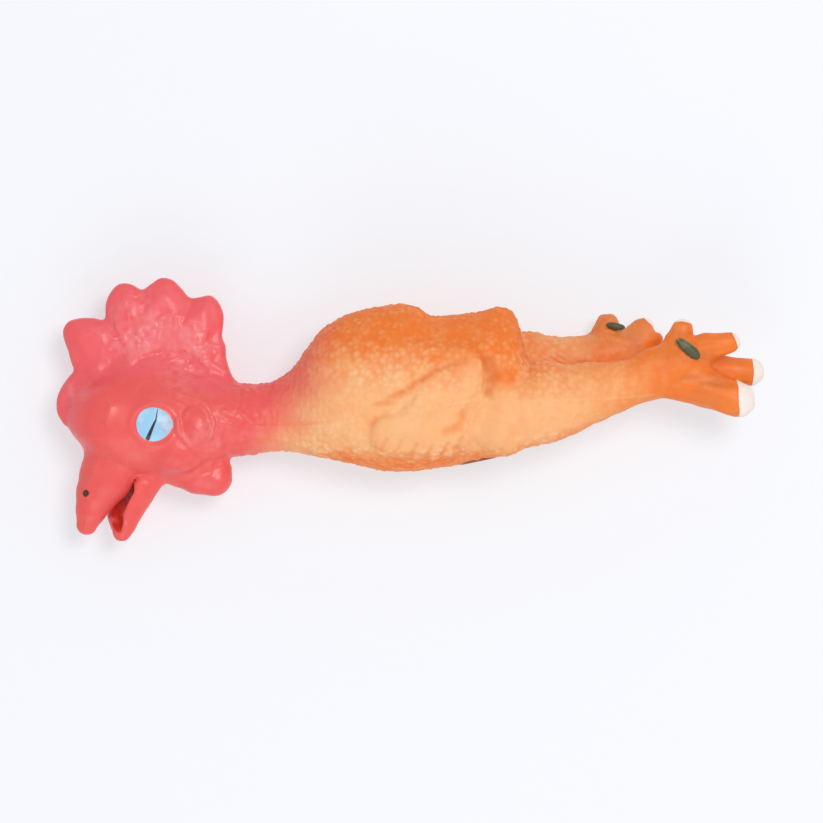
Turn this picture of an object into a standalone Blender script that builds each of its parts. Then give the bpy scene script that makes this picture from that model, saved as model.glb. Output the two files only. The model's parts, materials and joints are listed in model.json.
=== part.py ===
"""Rubber chicken: a hollow latex squeaky toy, lying on its right side.

Frame: metres, +Z up, +X towards the feet, +Y towards the bird's back. The origin is in the middle of
the flat patch on which the body rests. The casting is divided where the latex flexes and at its moulded
features. Lengths below are in millimetres, and MM turns them into metres.
"""
import math

import bmesh
import bpy
from mathutils import Matrix, Vector

MM = 0.001

# ---- driving dimensions (mm) -------------------------------------------------------------------------
# Places are measured from the middle of the toy's outline. REST_POINT, where the body touches the table,
# becomes the origin of the frame.
REST_POINT = (2.0, 9.4, 0.0)
WALL = 2.2                 # latex wall
GAP = 0.3                  # clearance between neighbouring pieces
SECTION_SIDES = 32         # points round each body section
SECTION_POWER = 2.15       # superellipse exponent of the body sections
HEAD_POCKET = 12.5         # largest half width of the hollow inside the head
HEAD_POCKET_START = -118   # x where that hollow begins

# Body outline from the nape to the rump: (x, back y, belly y, half thickness z, mid z).
TRUNK = [
    (-64, 11.0, -16.8, 13.6, 19.5),
    (-56, 12.4, -16.2, 13.6, 20.2),
    (-48, 17.0, -16.0, 15.0, 21.4),
    (-42, 25.0, -17.2, 18.0, 22.4),
    (-34, 34.0, -18.6, 21.3, 23.4),
    (-22, 40.0, -21.2, 24.0, 24.0),
    (-6, 43.2, -23.8, 25.0, 24.2),
    (10, 41.0, -23.0, 25.0, 24.2),
    (26, 39.5, -20.6, 24.2, 24.2),
    (36, 38.0, -18.2, 23.0, 24.2),
    (42, 35.0, -16.6, 21.2, 24.4),
    (45, 31.0, -14.6, 18.6, 24.6),
]
# Skull outline from the forehead to the nape, in the same form.
SKULL = [
    (-137, 3.5, -5.5, 4.5, 19.4),
    (-134, 7.5, -10.5, 9.0, 19.4),
    (-127, 11.5, -17.5, 13.5, 19.4),
    (-116, 14.5, -23.5, 16.2, 19.4),
    (-103, 16.0, -27.0, 16.8, 19.4),
    (-90, 15.5, -26.0, 16.4, 19.4),
    (-78, 13.0, -21.5, 15.0, 19.4),
    (-70, 11.4, -17.8, 14.0, 19.4),
    (-64, 11.0, -16.8, 13.6, 19.5),
]
MID_PLANE = 19.4                   # z of the head's mid plane
SIDES = (("left", 1), ("right", -1))
NECK_BAND = (-64, -48)             # x range of the neck that bends
NECK_PIVOT = (-56, -2, 20)
JAW_PIVOT = (-103, -25, 19.4)
JAW_TURNS = (-7, -4, 0, 4, 8, 12, 16)   # degrees through which the lower beak clears the head

FLANK_CENTRE = (5, 3)              # middle of the wall that gives when the toy is squeezed
FLANK_RADII = (28, 20)
FLANK_SIDES = 40
FLANK_CUT_Z = 50                   # middle height of the drum that divides the flank off
FLANK_CUT_DEPTH = 46

RIGHT_WING = ((-16, 22, 8), (25, 17, 6), -12)        # each: centre, radii, turn about Z in degrees
LEFT_WING = ((6, 2, 45.2), (25, 16, 6.6), -8)
TAIL = ((35, 35.5, 24), (8, 6, 7), -25)
WATTLE = ((-82.5, -23, 19.4), (12, 9.5, 7), 12)
EAR_LOBE = ((-86, -5.4, 15.2), (5.6, 7.4, 3.2), 10)  # z counts from the head's mid plane
EYE = ((-102.8, -5, 14.6), (7.3, 6.7, 4.6), 0)
UPPER_BEAK = [(-117, -17, 19.4, 11.8), (-122.6, -28, 19.4, 9.8), (-127.6, -38, 19.4, 6.8),
              (-130.4, -45.6, 19.4, 4.0), (-131, -48.8, 19.4, 1.6)]
LOWER_BEAK = [(-104, -22, 19.4, 7.0), (-110, -33, 19.4, 6.4), (-114, -42, 19.4, 5.4),
              (-116, -48, 19.4, 3.8), (-116.8, -51.4, 19.4, 1.6)]
JAW_ROOM = 1.2                     # how much wider than the upper beak the lower beak's clearance is

SQUEAKER_AT = (27, -19.9, 22)      # centre of the squeaker's outer face
SQUEAKER_TURN = 12                 # degrees about Z from facing along -Y
SQUEAKER_RADIUS = 8.0
SQUEAKER_WALL = 1.3
SQUEAKER_LIP = (0.5, 1.2)          # chamfer of the outer edge: inwards, and along the axis
SQUEAKER_DEPTH = 11.6
BORE_DEPTH = 16
SQUEAKER_FLANGE = (9.2, 8.3, 9.4)  # radius, and depths of its two faces
PLATE_DEPTHS = (5.0, 6.2)
CAP_DEPTHS = (0.4, 1.6)
CAP_HOLE = 1.6
REED_SIZE = (8.0, 3.6, 0.35)       # length, width, thickness
REED_SLOT = (6.0, 2.4, 6.0)        # length, width, depth of its cutter
SLOT_OFFSET = 0.5

# Each leg: centre line (x, y, z, radius) from the rump to the ankle and into the foot.
LEGS = {
    "left": {
        "path": [(44, 0, 32.8, 12.4), (58, 2.5, 34.4, 13.8), (76, 8, 33.6, 12.4), (92, 13.5, 32.2, 9.6),
                 (99, 15, 31.5, 8.8), (108, 15, 31, 9.6), (118, 15, 31, 9.2)],
        "hip_band": (45.4, 54), "ankle_band": (94, 100.5),
        "toes": {
            "inner_toe": [(112, 19, 33, 6.0), (119, 23.5, 34, 5.4), (126, 26.2, 34.5, 4.9)],
            "middle_toe": [(114, 16, 28, 6.0), (124, 16, 27, 5.6), (135.4, 15.6, 26.5, 5.3)],
            "outer_toe": [(108, 12, 31, 7.6), (118, 9, 32, 7.2), (129.4, 4.9, 32.6, 6.6)],
            "hallux": [(107, 21, 32, 5.0), (106.4, 27, 32.5, 4.6), (106.2, 31.5, 33, 4.2)],
        },
        "spur": (111.5, 22.5, 36.5),
    },
    "right": {
        "path": [(44, 21, 13, 10.0), (54, 22.5, 12.5, 9.4), (64, 24, 11.5, 8.8), (72, 25, 11, 8.6),
                 (80, 25.5, 10.6, 9.2), (87, 25.5, 10.4, 8.8)],
        "hip_band": (45.4, 53), "ankle_band": (66, 72),
        "toes": {
            "inner_toe": [(82, 28.5, 9.5, 5.6), (89, 33, 8.5, 5.0), (95, 35.2, 7.8, 4.6)],
            "middle_toe": [(84, 25.5, 10.4, 5.6), (93, 25, 10.4, 5.0), (100, 24.4, 10.4, 4.4)],
            "outer_toe": [(82, 22, 11.5, 5.4), (89, 17.5, 12, 5.0), (95, 14.5, 12, 4.4)],
            "hallux": [(79, 31, 11, 4.8), (78, 34, 11, 4.6), (77.4, 36, 11, 4.4)],
        },
        "spur": (83, 31.5, 16.5),
    },
}
CLAW_REACH = 4.6                   # how far a claw stands out of its toe
SPUR_RADII = (5.2, 2.8, 3.0)
SPUR_TURN = -50                    # degrees about Z
LIMB_SIDES = 4                     # bevel resolution of legs and toes

# Comb: angle (degrees) and reach of each tip and notch, from the forehead round to the nape.
COMB_ROOT = (-104.6, 4.6)
COMB_RIM = [(205, 30), (184, 37.9), (161, 33.2), (137, 45.6), (120, 37.6), (104, 48.3), (95, 44.6),
            (83, 49.2), (70, 44), (59, 48.2), (44, 40), (28, 34.4), (14, 33)]
COMB_THICKNESS = 10.0
COMB_ROUNDING = 2.4
COMB_ZONE = (90, 70)               # x and y size of the room kept for the comb

COLOURS = {
    "red": (0.86, 0.13, 0.12, 1), "peach": (0.92, 0.40, 0.17, 1), "orange": (0.88, 0.24, 0.07, 1),
    "white": (0.93, 0.82, 0.72, 1), "green": (0.12, 0.12, 0.05, 1), "blue": (0.32, 0.60, 0.82, 1),
    "plastic": (0.75, 0.74, 0.70, 1), "film": (0.55, 0.30, 0.16, 1),
}


# ---- scene helpers -----------------------------------------------------------------------------------
def clear_scene():
    for obj in list(bpy.data.objects):
        bpy.data.objects.remove(obj, do_unlink=True)


def new_collection(name):
    collection = bpy.data.collections.new(name)
    bpy.context.scene.collection.children.link(collection)
    return collection


def new_material(name, colour, roughness):
    material = bpy.data.materials.new(name)
    material.use_nodes = True
    shader = material.node_tree.nodes["Principled BSDF"]
    shader.inputs["Base Color"].default_value = colour
    shader.inputs["Roughness"].default_value = roughness
    shader.inputs["Metallic"].default_value = 0.0
    return material


def metres(size):
    return Vector(size) * MM


def at(point):
    """A place in the frame, in metres, from a place in millimetres."""
    return (Vector(point) - Vector(REST_POINT)) * MM


class Model:
    """The collections, the joint empties and the body that new pieces join."""

    def __init__(self):
        self.parts = new_collection("rubber_chicken")
        self.cutters = new_collection("cutters")
        self.pivot = None

    def body(self, name, place):
        self.pivot = bpy.data.objects.new("pivot_" + name, None)
        self.pivot.location = at(place)
        self.parts.objects.link(self.pivot)

    def root(self):
        self.pivot = None

    def piece(self, name, mesh, colour, roughness=0.45):
        """Add a mesh made in world coordinates as a named piece of the current body."""
        obj = bpy.data.objects.new(name, mesh)
        obj.data.materials.clear()
        obj.data.materials.append(new_material(name, COLOURS[colour], roughness))
        if self.pivot:
            obj.parent = self.pivot
            obj.location = -self.pivot.location
        self.parts.objects.link(obj)
        obj.data.shade_smooth()
        obj.data.set_sharp_from_angle(angle=math.radians(40))
        return obj

    def cutter(self, name, mesh):
        obj = bpy.data.objects.new(name, mesh)
        obj.hide_render = True
        obj.display_type = "WIRE"
        self.cutters.objects.link(obj)
        return obj


def boolean(obj, cutter, operation):
    modifier = obj.modifiers.new(operation.lower() + "_" + cutter.name, "BOOLEAN")
    modifier.operation = operation
    modifier.object = cutter
    modifier.solver = "EXACT"


# ---- shape helpers: each returns a mesh in world coordinates, in metres ------------------------------
def finish_mesh(bm, name):
    bmesh.ops.recalc_face_normals(bm, faces=bm.faces)
    mesh = bpy.data.meshes.new(name)
    bm.to_mesh(mesh)
    bm.free()
    return mesh


def section(station, inset, limit):
    """One superellipse section of the trunk or skull, shrunk by inset and to half widths of limit."""
    x, back, belly, half_z, mid_z = station
    half_y = min((back - belly) / 2 - inset, limit)
    half_z = min(half_z - inset, limit)
    mid_y = (back + belly) / 2
    points = []
    for i in range(SECTION_SIDES):
        angle = 2 * math.pi * i / SECTION_SIDES
        c, s = math.cos(angle), math.sin(angle)
        y = math.copysign(abs(c) ** (2 / SECTION_POWER), c) * half_y
        z = math.copysign(abs(s) ** (2 / SECTION_POWER), s) * half_z
        points.append(at((x, mid_y + y, mid_z + z)))
    return points


def loft(name, stations, inset=0.0, limit=1000.0, floor=None):
    """Closed skin through the sections of the stations, cut flat at z = floor if one is given."""
    bm = bmesh.new()
    rings = [[bm.verts.new(p) for p in section(s, inset, limit)] for s in stations]
    for ring, following in zip(rings, rings[1:]):
        for i in range(SECTION_SIDES):
            j = (i + 1) % SECTION_SIDES
            bm.faces.new((ring[i], ring[j], following[j], following[i]))
    bm.faces.new(rings[0][::-1])
    bm.faces.new(rings[-1])
    if floor is not None:
        cut_flat(bm, at((0, 0, floor)), (0, 0, -1))
    return finish_mesh(bm, name)


def cut_flat(bm, point, outward):
    """Remove what lies beyond the plane and close the cut."""
    geometry = bm.verts[:] + bm.edges[:] + bm.faces[:]
    cut = bmesh.ops.bisect_plane(bm, geom=geometry, dist=1e-7, plane_co=point,
                                 plane_no=outward, clear_outer=True)
    rim = [item for item in cut["geom_cut"] if isinstance(item, bmesh.types.BMEdge)]
    if rim:
        bmesh.ops.edgeloop_fill(bm, edges=rim)


def keep_between(mesh, low, high):
    """A copy of a solid mesh between two planes across X."""
    bm = bmesh.new()
    bm.from_mesh(mesh)
    cut_flat(bm, at((low, 0, 0)), (-1, 0, 0))
    cut_flat(bm, at((high, 0, 0)), (1, 0, 0))
    return finish_mesh(bm, mesh.name + "_slice")


def ellipsoid(name, centre, radii, turn=0.0, segments=24, rings=12):
    """Turned by an angle in degrees about Z."""
    bm = bmesh.new()
    place = (Matrix.Translation(at(centre)) @ Matrix.Rotation(math.radians(turn), 4, "Z")
             @ Matrix.Diagonal((*metres(radii), 1)))
    bmesh.ops.create_uvsphere(bm, u_segments=segments, v_segments=rings, radius=1, matrix=place)
    return finish_mesh(bm, name)


def limb(name, path, grow=0.0):
    """A round tapered tube along (x, y, z, radius) points, with filled ends."""
    curve = bpy.data.curves.new(name, "CURVE")
    curve.dimensions = "3D"
    curve.bevel_depth = MM
    curve.bevel_resolution = LIMB_SIDES
    curve.resolution_u = 4
    curve.use_fill_caps = True
    spline = curve.splines.new("BEZIER")
    spline.bezier_points.add(len(path) - 1)
    for point, (x, y, z, radius) in zip(spline.bezier_points, path):
        point.co = at((x, y, z))
        point.radius = radius + grow
        point.handle_left_type = point.handle_right_type = "AUTO"
    holder = bpy.data.objects.new(name, curve)
    bpy.context.scene.collection.objects.link(holder)
    evaluated = holder.evaluated_get(bpy.context.evaluated_depsgraph_get())
    mesh = bpy.data.meshes.new_from_object(evaluated)
    bpy.data.objects.remove(holder)
    bm = bmesh.new()
    bm.from_mesh(mesh)
    bmesh.ops.remove_doubles(bm, verts=bm.verts, dist=1e-6)
    return finish_mesh(bm, name)


def drum(name, place, radii, depth, sides):
    """An elliptic cylinder along the Z axis of a placement matrix."""
    bm = bmesh.new()
    size = Matrix.Diagonal((radii[0] * MM, radii[1] * MM, depth * MM, 1))
    bmesh.ops.create_cone(bm, cap_ends=True, segments=sides, radius1=1, radius2=1, depth=1,
                          matrix=place @ size)
    return finish_mesh(bm, name)


def box(name, place, size):
    bm = bmesh.new()
    bmesh.ops.create_cube(bm, size=1, matrix=place @ Matrix.Diagonal((*metres(size), 1)))
    return finish_mesh(bm, name)


def squeaker_axis(depth):
    """The squeaker's frame at a depth behind its outer face, with Z along its axis and inwards."""
    turn = Matrix.Rotation(math.radians(SQUEAKER_TURN), 4, "Z") @ Matrix.Rotation(math.radians(-90), 4, "X")
    return Matrix.Translation(at(SQUEAKER_AT)) @ turn @ Matrix.Translation(metres((0, 0, depth)))


# ---- the casting -------------------------------------------------------------------------------------
def make_casting_cutters(model):
    """The air chamber inside the casting, and the outer form that the features sit on."""
    head = [s for s in SKULL if HEAD_POCKET_START < s[0] < NECK_BAND[0]]
    shapes = {
        "pocket": loft("pocket", head + TRUNK[:3], WALL, HEAD_POCKET),
        "chamber": loft("chamber", TRUNK[2:-1], WALL),
        "trunk_form": loft("trunk_form", TRUNK, -GAP),
        "skull_form": loft("skull_form", SKULL, -GAP),
    }
    return {name: model.cutter(name, mesh) for name, mesh in shapes.items()}


def make_trunk(model, forms):
    low, high = NECK_BAND
    outer = loft("trunk", TRUNK, floor=0.0)
    model.root()
    shell = model.piece("torso_shell", keep_between(outer, high + GAP / 2, TRUNK[-1][0] + 1), "peach")
    boolean(shell, forms["chamber"], "DIFFERENCE")
    neck = model.piece("neck_skin", keep_between(outer, low + GAP / 2, high - GAP / 2), "red")
    boolean(neck, forms["pocket"], "DIFFERENCE")

    x, y = FLANK_CENTRE
    rx, ry = FLANK_RADII
    above = Matrix.Translation(at((x, y, FLANK_CUT_Z)))
    opening_mesh = drum("flank_opening", above, (rx, ry), FLANK_CUT_DEPTH, FLANK_SIDES)
    opening = model.cutter("flank_opening", opening_mesh)
    boolean(shell, opening, "DIFFERENCE")
    bore = drum("squeaker_bore", squeaker_axis(0), (SQUEAKER_RADIUS + GAP,) * 2, BORE_DEPTH, 28)
    boolean(shell, model.cutter("squeaker_bore", bore), "DIFFERENCE")

    for name, shape in (("right_wing", RIGHT_WING), ("tail", TAIL)):
        relief = model.piece(name, ellipsoid(name, *shape), "orange")
        boolean(relief, forms["trunk_form"], "DIFFERENCE")

    model.body("flank", (x, y, 49))
    plug_radii = (rx - GAP, ry - GAP)
    flank = model.piece("left_flank", keep_between(outer, high + GAP / 2, TRUNK[-1][0] + 1), "peach")
    boolean(flank, forms["chamber"], "DIFFERENCE")
    plug = model.cutter("flank_plug", drum("flank_plug", above, plug_radii, FLANK_CUT_DEPTH, FLANK_SIDES))
    boolean(flank, plug, "INTERSECT")
    wing = model.piece("left_wing", ellipsoid("left_wing", *LEFT_WING), "peach")
    boolean(wing, forms["trunk_form"], "DIFFERENCE")
    boolean(wing, plug, "INTERSECT")


def comb_mesh():
    """The comb's outline, extruded about the head's mid plane, with rounded edges."""
    curve = bpy.data.curves.new("comb", "CURVE")
    curve.dimensions = "2D"
    curve.fill_mode = "BOTH"
    curve.resolution_u = 4
    curve.extrude = (COMB_THICKNESS / 2 - COMB_ROUNDING) * MM
    curve.bevel_depth = COMB_ROUNDING * MM
    curve.bevel_resolution = 1
    curve.offset = -COMB_ROUNDING * MM
    spline = curve.splines.new("BEZIER")
    spline.use_cyclic_u = True
    spline.bezier_points.add(len(COMB_RIM))
    root_x, root_y = COMB_ROOT
    spline.bezier_points[0].co = at((root_x, root_y - 8, 0))
    for point, (angle, reach) in zip(spline.bezier_points[1:], COMB_RIM):
        turn = math.radians(angle)
        point.co = at((root_x + reach * math.cos(turn), root_y + reach * math.sin(turn), 0))
    for point in spline.bezier_points:
        point.handle_left_type = point.handle_right_type = "AUTO"
    holder = bpy.data.objects.new("comb", curve)
    bpy.context.scene.collection.objects.link(holder)
    evaluated = holder.evaluated_get(bpy.context.evaluated_depsgraph_get())
    mesh = bpy.data.meshes.new_from_object(evaluated)
    bpy.data.objects.remove(holder)
    bm = bmesh.new()
    bm.from_mesh(mesh)
    bmesh.ops.remove_doubles(bm, verts=bm.verts, dist=1e-6)
    bmesh.ops.translate(bm, verts=bm.verts, vec=metres((0, 0, MID_PLANE)))
    return finish_mesh(bm, "comb")


def make_head(model, forms):
    model.body("head", NECK_PIVOT)
    skull = loft("skull", SKULL)
    shell = keep_between(skull, SKULL[0][0] - 1, NECK_BAND[0] - GAP / 2)
    head = model.piece("head_shell", shell, "red", 0.3)
    boolean(head, forms["pocket"], "DIFFERENCE")
    features = [
        ("comb", comb_mesh()),
        ("wattle", ellipsoid("wattle", *WATTLE)),
        ("upper_beak", limb("upper_beak", UPPER_BEAK)),
    ]
    for side, sign in SIDES:
        features.append((side + "_ear_lobe", beside_head(side + "_ear_lobe", EAR_LOBE, sign)))
    for name, mesh in features:
        feature = model.piece(name, mesh, "red", 0.3)
        boolean(feature, forms["skull_form"], "DIFFERENCE")
    for side, sign in SIDES:
        dome = model.piece(side + "_eye", beside_head(side + "_eye", EYE, sign), "blue", 0.25)
        boolean(dome, forms["skull_form"], "DIFFERENCE")
        boolean(dome, forms["comb_form"], "DIFFERENCE")

    model.body("jaw", JAW_PIVOT)
    beak = model.piece("lower_beak", limb("lower_beak", LOWER_BEAK), "red", 0.3)
    for form in ("skull_form", "jaw_room"):
        for degrees in JAW_TURNS:
            boolean(beak, turned_cutter(model, forms[form], JAW_PIVOT, -degrees), "DIFFERENCE")


def turned_cutter(model, form, pivot, degrees):
    """A cutter's copy turned about Z at a pivot, to clear the way of a piece that swings past it."""
    if not degrees:
        return form
    copy = model.cutter(f"{form.name}_turned_{degrees}", form.data)
    centre = Matrix.Translation(at(pivot))
    copy.matrix_world = centre @ Matrix.Rotation(math.radians(degrees), 4, "Z") @ centre.inverted()
    return copy


def make_head_cutters(model, forms):
    """The room kept for the comb's foot, and for the upper beak as the jaw swings."""
    x, y = COMB_ROOT
    place = Matrix.Translation(at((x, y + COMB_ZONE[1] / 2, MID_PLANE)))
    comb_zone = box("comb_form", place, (*COMB_ZONE, COMB_THICKNESS + 2 * GAP))
    forms["comb_form"] = model.cutter("comb_form", comb_zone)
    forms["jaw_room"] = model.cutter("jaw_room", limb("jaw_room", UPPER_BEAK, JAW_ROOM))


def beside_head(name, shape, sign):
    """An ellipsoid set off the head's mid plane, to the left for sign = 1 and the right for -1."""
    (x, y, offset), radii, turn = shape
    return ellipsoid(name, (x, y, MID_PLANE + sign * offset), radii, turn)


# ---- the squeaker ------------------------------------------------------------------------------------
def turned(name, profile):
    """A solid of revolution about the squeaker's axis, from closed (radius, depth) points."""
    bm = bmesh.new()
    ring = [bm.verts.new(metres((radius, 0, depth))) for radius, depth in profile]
    edges = [bm.edges.new((a, b)) for a, b in zip(ring, ring[1:] + ring[:1])]
    bmesh.ops.spin(bm, geom=ring + edges, angle=2 * math.pi, steps=24, axis=(0, 0, 1), cent=(0, 0, 0))
    bmesh.ops.remove_doubles(bm, verts=bm.verts, dist=1e-6)
    bmesh.ops.transform(bm, matrix=squeaker_axis(0), verts=bm.verts)
    return finish_mesh(bm, name)


def make_squeaker(model):
    outer, inner = SQUEAKER_RADIUS, SQUEAKER_RADIUS - SQUEAKER_WALL
    flange, near, far = SQUEAKER_FLANGE
    lip_in, lip_deep = SQUEAKER_LIP
    model.root()
    housing = [(inner, 0), (outer - lip_in, 0), (outer, lip_deep), (outer, near), (flange, near),
               (flange, far), (outer, far), (outer, SQUEAKER_DEPTH), (inner, SQUEAKER_DEPTH)]
    model.piece("squeaker_housing", turned("squeaker_housing", housing), "plastic", 0.35)
    disc = inner - GAP
    top, bottom = CAP_DEPTHS
    cap = [(CAP_HOLE, top), (disc, top), (disc, bottom), (CAP_HOLE, bottom)]
    model.piece("squeaker_cap", turned("squeaker_cap", cap), "plastic", 0.35)
    top, bottom = PLATE_DEPTHS
    middle = squeaker_axis((top + bottom) / 2)
    plate_mesh = drum("squeaker_reed_plate", middle, (disc, disc), bottom - top, 24)
    plate = model.piece("squeaker_reed_plate", plate_mesh, "plastic", 0.35)
    slot_place = squeaker_axis(top) @ Matrix.Translation(metres((SLOT_OFFSET, 0, 0)))
    slot = box("reed_slot", slot_place, REED_SLOT)
    boolean(plate, model.cutter("reed_slot", slot), "DIFFERENCE")
    length, _, thickness = REED_SIZE
    reed_place = squeaker_axis(bottom + GAP + thickness / 2)
    root = reed_place @ metres((-length / 2, 0, 0)) / MM + Vector(REST_POINT)
    model.body("reed", root)
    model.piece("squeaker_reed", box("squeaker_reed", reed_place, REED_SIZE), "film", 0.3)


# ---- legs and feet -----------------------------------------------------------------------------------
def pivot_on(path, band):
    """The point of the centre line in the middle of a flexing band."""
    x = sum(band) / 2
    for (x0, y0, z0, _), (x1, y1, z1, _) in zip(path, path[1:]):
        if x0 <= x <= x1:
            share = (x - x0) / (x1 - x0)
            return (x, y0 + share * (y1 - y0), z0 + share * (z1 - z0))
    raise ValueError("the band is off the leg")


def make_leg(model, side, leg):
    path, hip, ankle = leg["path"], leg["hip_band"], leg["ankle_band"]
    whole = limb(side + "_leg", path)
    half = GAP / 2
    model.root()
    model.piece(side + "_hip_skin", keep_between(whole, hip[0], hip[1] - half), "peach")
    model.body(side + "_leg", pivot_on(path, hip))
    model.piece(side + "_drumstick", keep_between(whole, hip[1] + half, ankle[0] - half), "peach")
    model.piece(side + "_ankle_skin", keep_between(whole, ankle[0] + half, ankle[1] - half), "peach")
    model.body(side + "_foot", pivot_on(path, ankle))
    model.piece(side + "_foot", keep_between(whole, ankle[1] + half, path[-1][0] + 1), "orange")
    foot_form = model.cutter(side + "_foot_form", limb(side + "_foot_form", path, GAP))
    taken = [foot_form]
    for toe_name, toe_path in leg["toes"].items():
        name = side + "_" + toe_name
        toe = model.piece(name, limb(name, toe_path), "orange")
        for form in taken:
            boolean(toe, form, "DIFFERENCE")
        toe_form = model.cutter(name + "_form", limb(name + "_form", toe_path, GAP))
        tip, before = Vector(toe_path[-1][:3]), Vector(toe_path[-2][:3])
        along = (tip - before).normalized()
        radius = toe_path[-1][3]
        claw_mesh = claw(name + "_claw", tip + along * GAP, along, radius)
        model.piece(name + "_claw", claw_mesh, "white", 0.3)
        taken.append(toe_form)
    spur_mesh = ellipsoid(side + "_spur", leg["spur"], SPUR_RADII, SPUR_TURN, 16, 8)
    spur = model.piece(side + "_spur", spur_mesh, "green")
    for form in taken:
        boolean(spur, form, "DIFFERENCE")


def claw(name, root, along, radius):
    """A half ellipsoid standing on the end of a toe."""
    bm = bmesh.new()
    bmesh.ops.create_uvsphere(bm, u_segments=16, v_segments=8, radius=1)
    cut_flat(bm, (0, 0, 0), (0, 0, -1))
    turn = Vector((0, 0, 1)).rotation_difference(along).to_matrix().to_4x4()
    size = Matrix.Diagonal((radius * MM, radius * MM, CLAW_REACH * MM, 1))
    bmesh.ops.transform(bm, matrix=Matrix.Translation(at(root)) @ turn @ size, verts=bm.verts)
    return finish_mesh(bm, name)


def main():
    clear_scene()
    model = Model()
    forms = make_casting_cutters(model)
    make_head_cutters(model, forms)
    make_trunk(model, forms)
    make_squeaker(model)
    make_head(model, forms)
    for side, leg in LEGS.items():
        make_leg(model, side, leg)


main()
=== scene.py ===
"""Rubber chicken: the visible skin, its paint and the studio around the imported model.

The latex casting is sculpted as one signed-distance solid, skinned, given its moulded detail, painted
with vertex attributes, and then divided into pieces where the toy bends and along its features. Lengths
are in millimetres from the middle of the toy's outline; to_frame() moves them into the frame.
"""
import json
import math

import bpy
import numpy as np
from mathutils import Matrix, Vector


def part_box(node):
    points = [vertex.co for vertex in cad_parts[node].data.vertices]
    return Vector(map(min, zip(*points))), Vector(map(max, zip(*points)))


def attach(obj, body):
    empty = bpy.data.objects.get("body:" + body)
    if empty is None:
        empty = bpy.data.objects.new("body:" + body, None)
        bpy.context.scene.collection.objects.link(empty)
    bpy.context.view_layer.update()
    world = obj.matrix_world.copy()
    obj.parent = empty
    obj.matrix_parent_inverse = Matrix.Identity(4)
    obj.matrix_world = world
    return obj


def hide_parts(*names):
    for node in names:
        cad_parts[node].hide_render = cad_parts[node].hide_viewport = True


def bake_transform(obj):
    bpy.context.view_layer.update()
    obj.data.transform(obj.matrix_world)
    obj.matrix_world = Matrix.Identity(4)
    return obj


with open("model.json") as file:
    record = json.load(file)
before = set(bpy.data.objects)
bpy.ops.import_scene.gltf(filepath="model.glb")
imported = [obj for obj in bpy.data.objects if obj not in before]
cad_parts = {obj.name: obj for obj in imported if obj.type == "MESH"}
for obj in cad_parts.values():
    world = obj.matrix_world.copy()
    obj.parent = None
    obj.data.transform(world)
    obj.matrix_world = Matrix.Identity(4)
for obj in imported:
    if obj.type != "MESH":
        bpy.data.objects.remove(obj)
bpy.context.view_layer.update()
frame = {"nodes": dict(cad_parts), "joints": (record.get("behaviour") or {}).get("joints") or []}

MM = 0.001


# ---- places taken from the frame ---------------------------------------------------------------------
# The frame's origin is under the body; the outline's middle lies REST_POINT back from it.
REST_POINT = np.array((2.0, 9.4, 0.0))
JOINTS = {joint["name"]: joint for joint in frame["joints"]}


def to_frame(points):
    return (np.asarray(points, float) - REST_POINT) * MM


def from_frame(points):
    return np.asarray(points, float) / MM + REST_POINT


def node_box(node):
    low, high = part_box(node)
    return from_frame(low), from_frame(high)


def node_middle(node):
    low, high = node_box(node)
    return (low + high) / 2


def pivot(joint):
    return from_frame(JOINTS[joint]["pos_m"])


def ends_of(node):
    """Where a node starts and ends along the toy."""
    low, high = node_box(node)
    return low[0], high[0]


NECK = ends_of("neck_skin")
LEFT_HIP, RIGHT_HIP = ends_of("left_hip_skin"), ends_of("right_hip_skin")
LEFT_ANKLE, RIGHT_ANKLE = ends_of("left_ankle_skin"), ends_of("right_ankle_skin")
JAW = pivot("jaw_open")
HEAD_Z = JAW[2]
SQUEAKER = node_middle("squeaker_cap")
SQUEAKER_TURN = 12.0
BORE_RADIUS, BORE_DEPTH = 8.5, 13.0


# ---- the sculpture's dimensions (mm) -----------------------------------------------------------------
GRID_STEP = 0.9
GRID_LOW = (-147.0, -58.0, -2.5)
GRID_HIGH = (145.0, 60.0, 58.0)
FAR = 30.0
SECTION_POWER = 2.1

# Outline of head, neck and body: (x, back y, belly y, half thickness z, mid z).
BODY = [
    (-138.0, 0.5, -4.5, 4.0, HEAD_Z), (-136.0, 5.5, -9.0, 8.0, HEAD_Z), (-130.0, 10.5, -15.5, 12.5, HEAD_Z),
    (-120.0, 14.0, -22.0, 15.6, HEAD_Z), (-106.0, 15.5, -26.4, 16.8, HEAD_Z),
    (-94.0, 15.0, -26.0, 16.4, HEAD_Z), (-82.0, 13.0, -22.0, 15.4, HEAD_Z),
    (-73.0, 11.4, -18.6, 14.4, HEAD_Z), (-66.0, 11.0, -17.6, 13.8, HEAD_Z + 0.2),
    (-58.0, 11.4, -16.3, 13.7, HEAD_Z + 0.8), (-52.0, 13.9, -16.0, 14.2, HEAD_Z + 1.4),
    (-46.5, 18.6, -16.4, 15.6, 21.6), (-41.0, 26.4, -17.3, 18.2, 22.6), (-36.6, 32.2, -18.2, 20.4, 23.2),
    (-31.0, 36.2, -19.3, 22.4, 23.8), (-20.6, 40.3, -21.6, 24.2, 24.2), (-11.0, 42.2, -23.4, 24.8, 24.4),
    (-3.0, 43.0, -23.7, 25.0, 24.4), (3.0, 41.4, -23.4, 25.0, 24.4), (8.0, 38.3, -22.8, 24.9, 24.4),
    (16.0, 38.4, -21.8, 24.6, 24.3), (25.0, 39.4, -20.6, 24.0, 24.2), (32.0, 40.8, -19.2, 23.2, 24.2),
    (37.5, 40.2, -17.6, 22.2, 24.2), (41.5, 36.4, -16.2, 20.6, 24.2), (44.0, 31.0, -14.5, 18.0, 24.2),
    (46.0, 22.0, -10.0, 12.0, 24.2),
]

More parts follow.
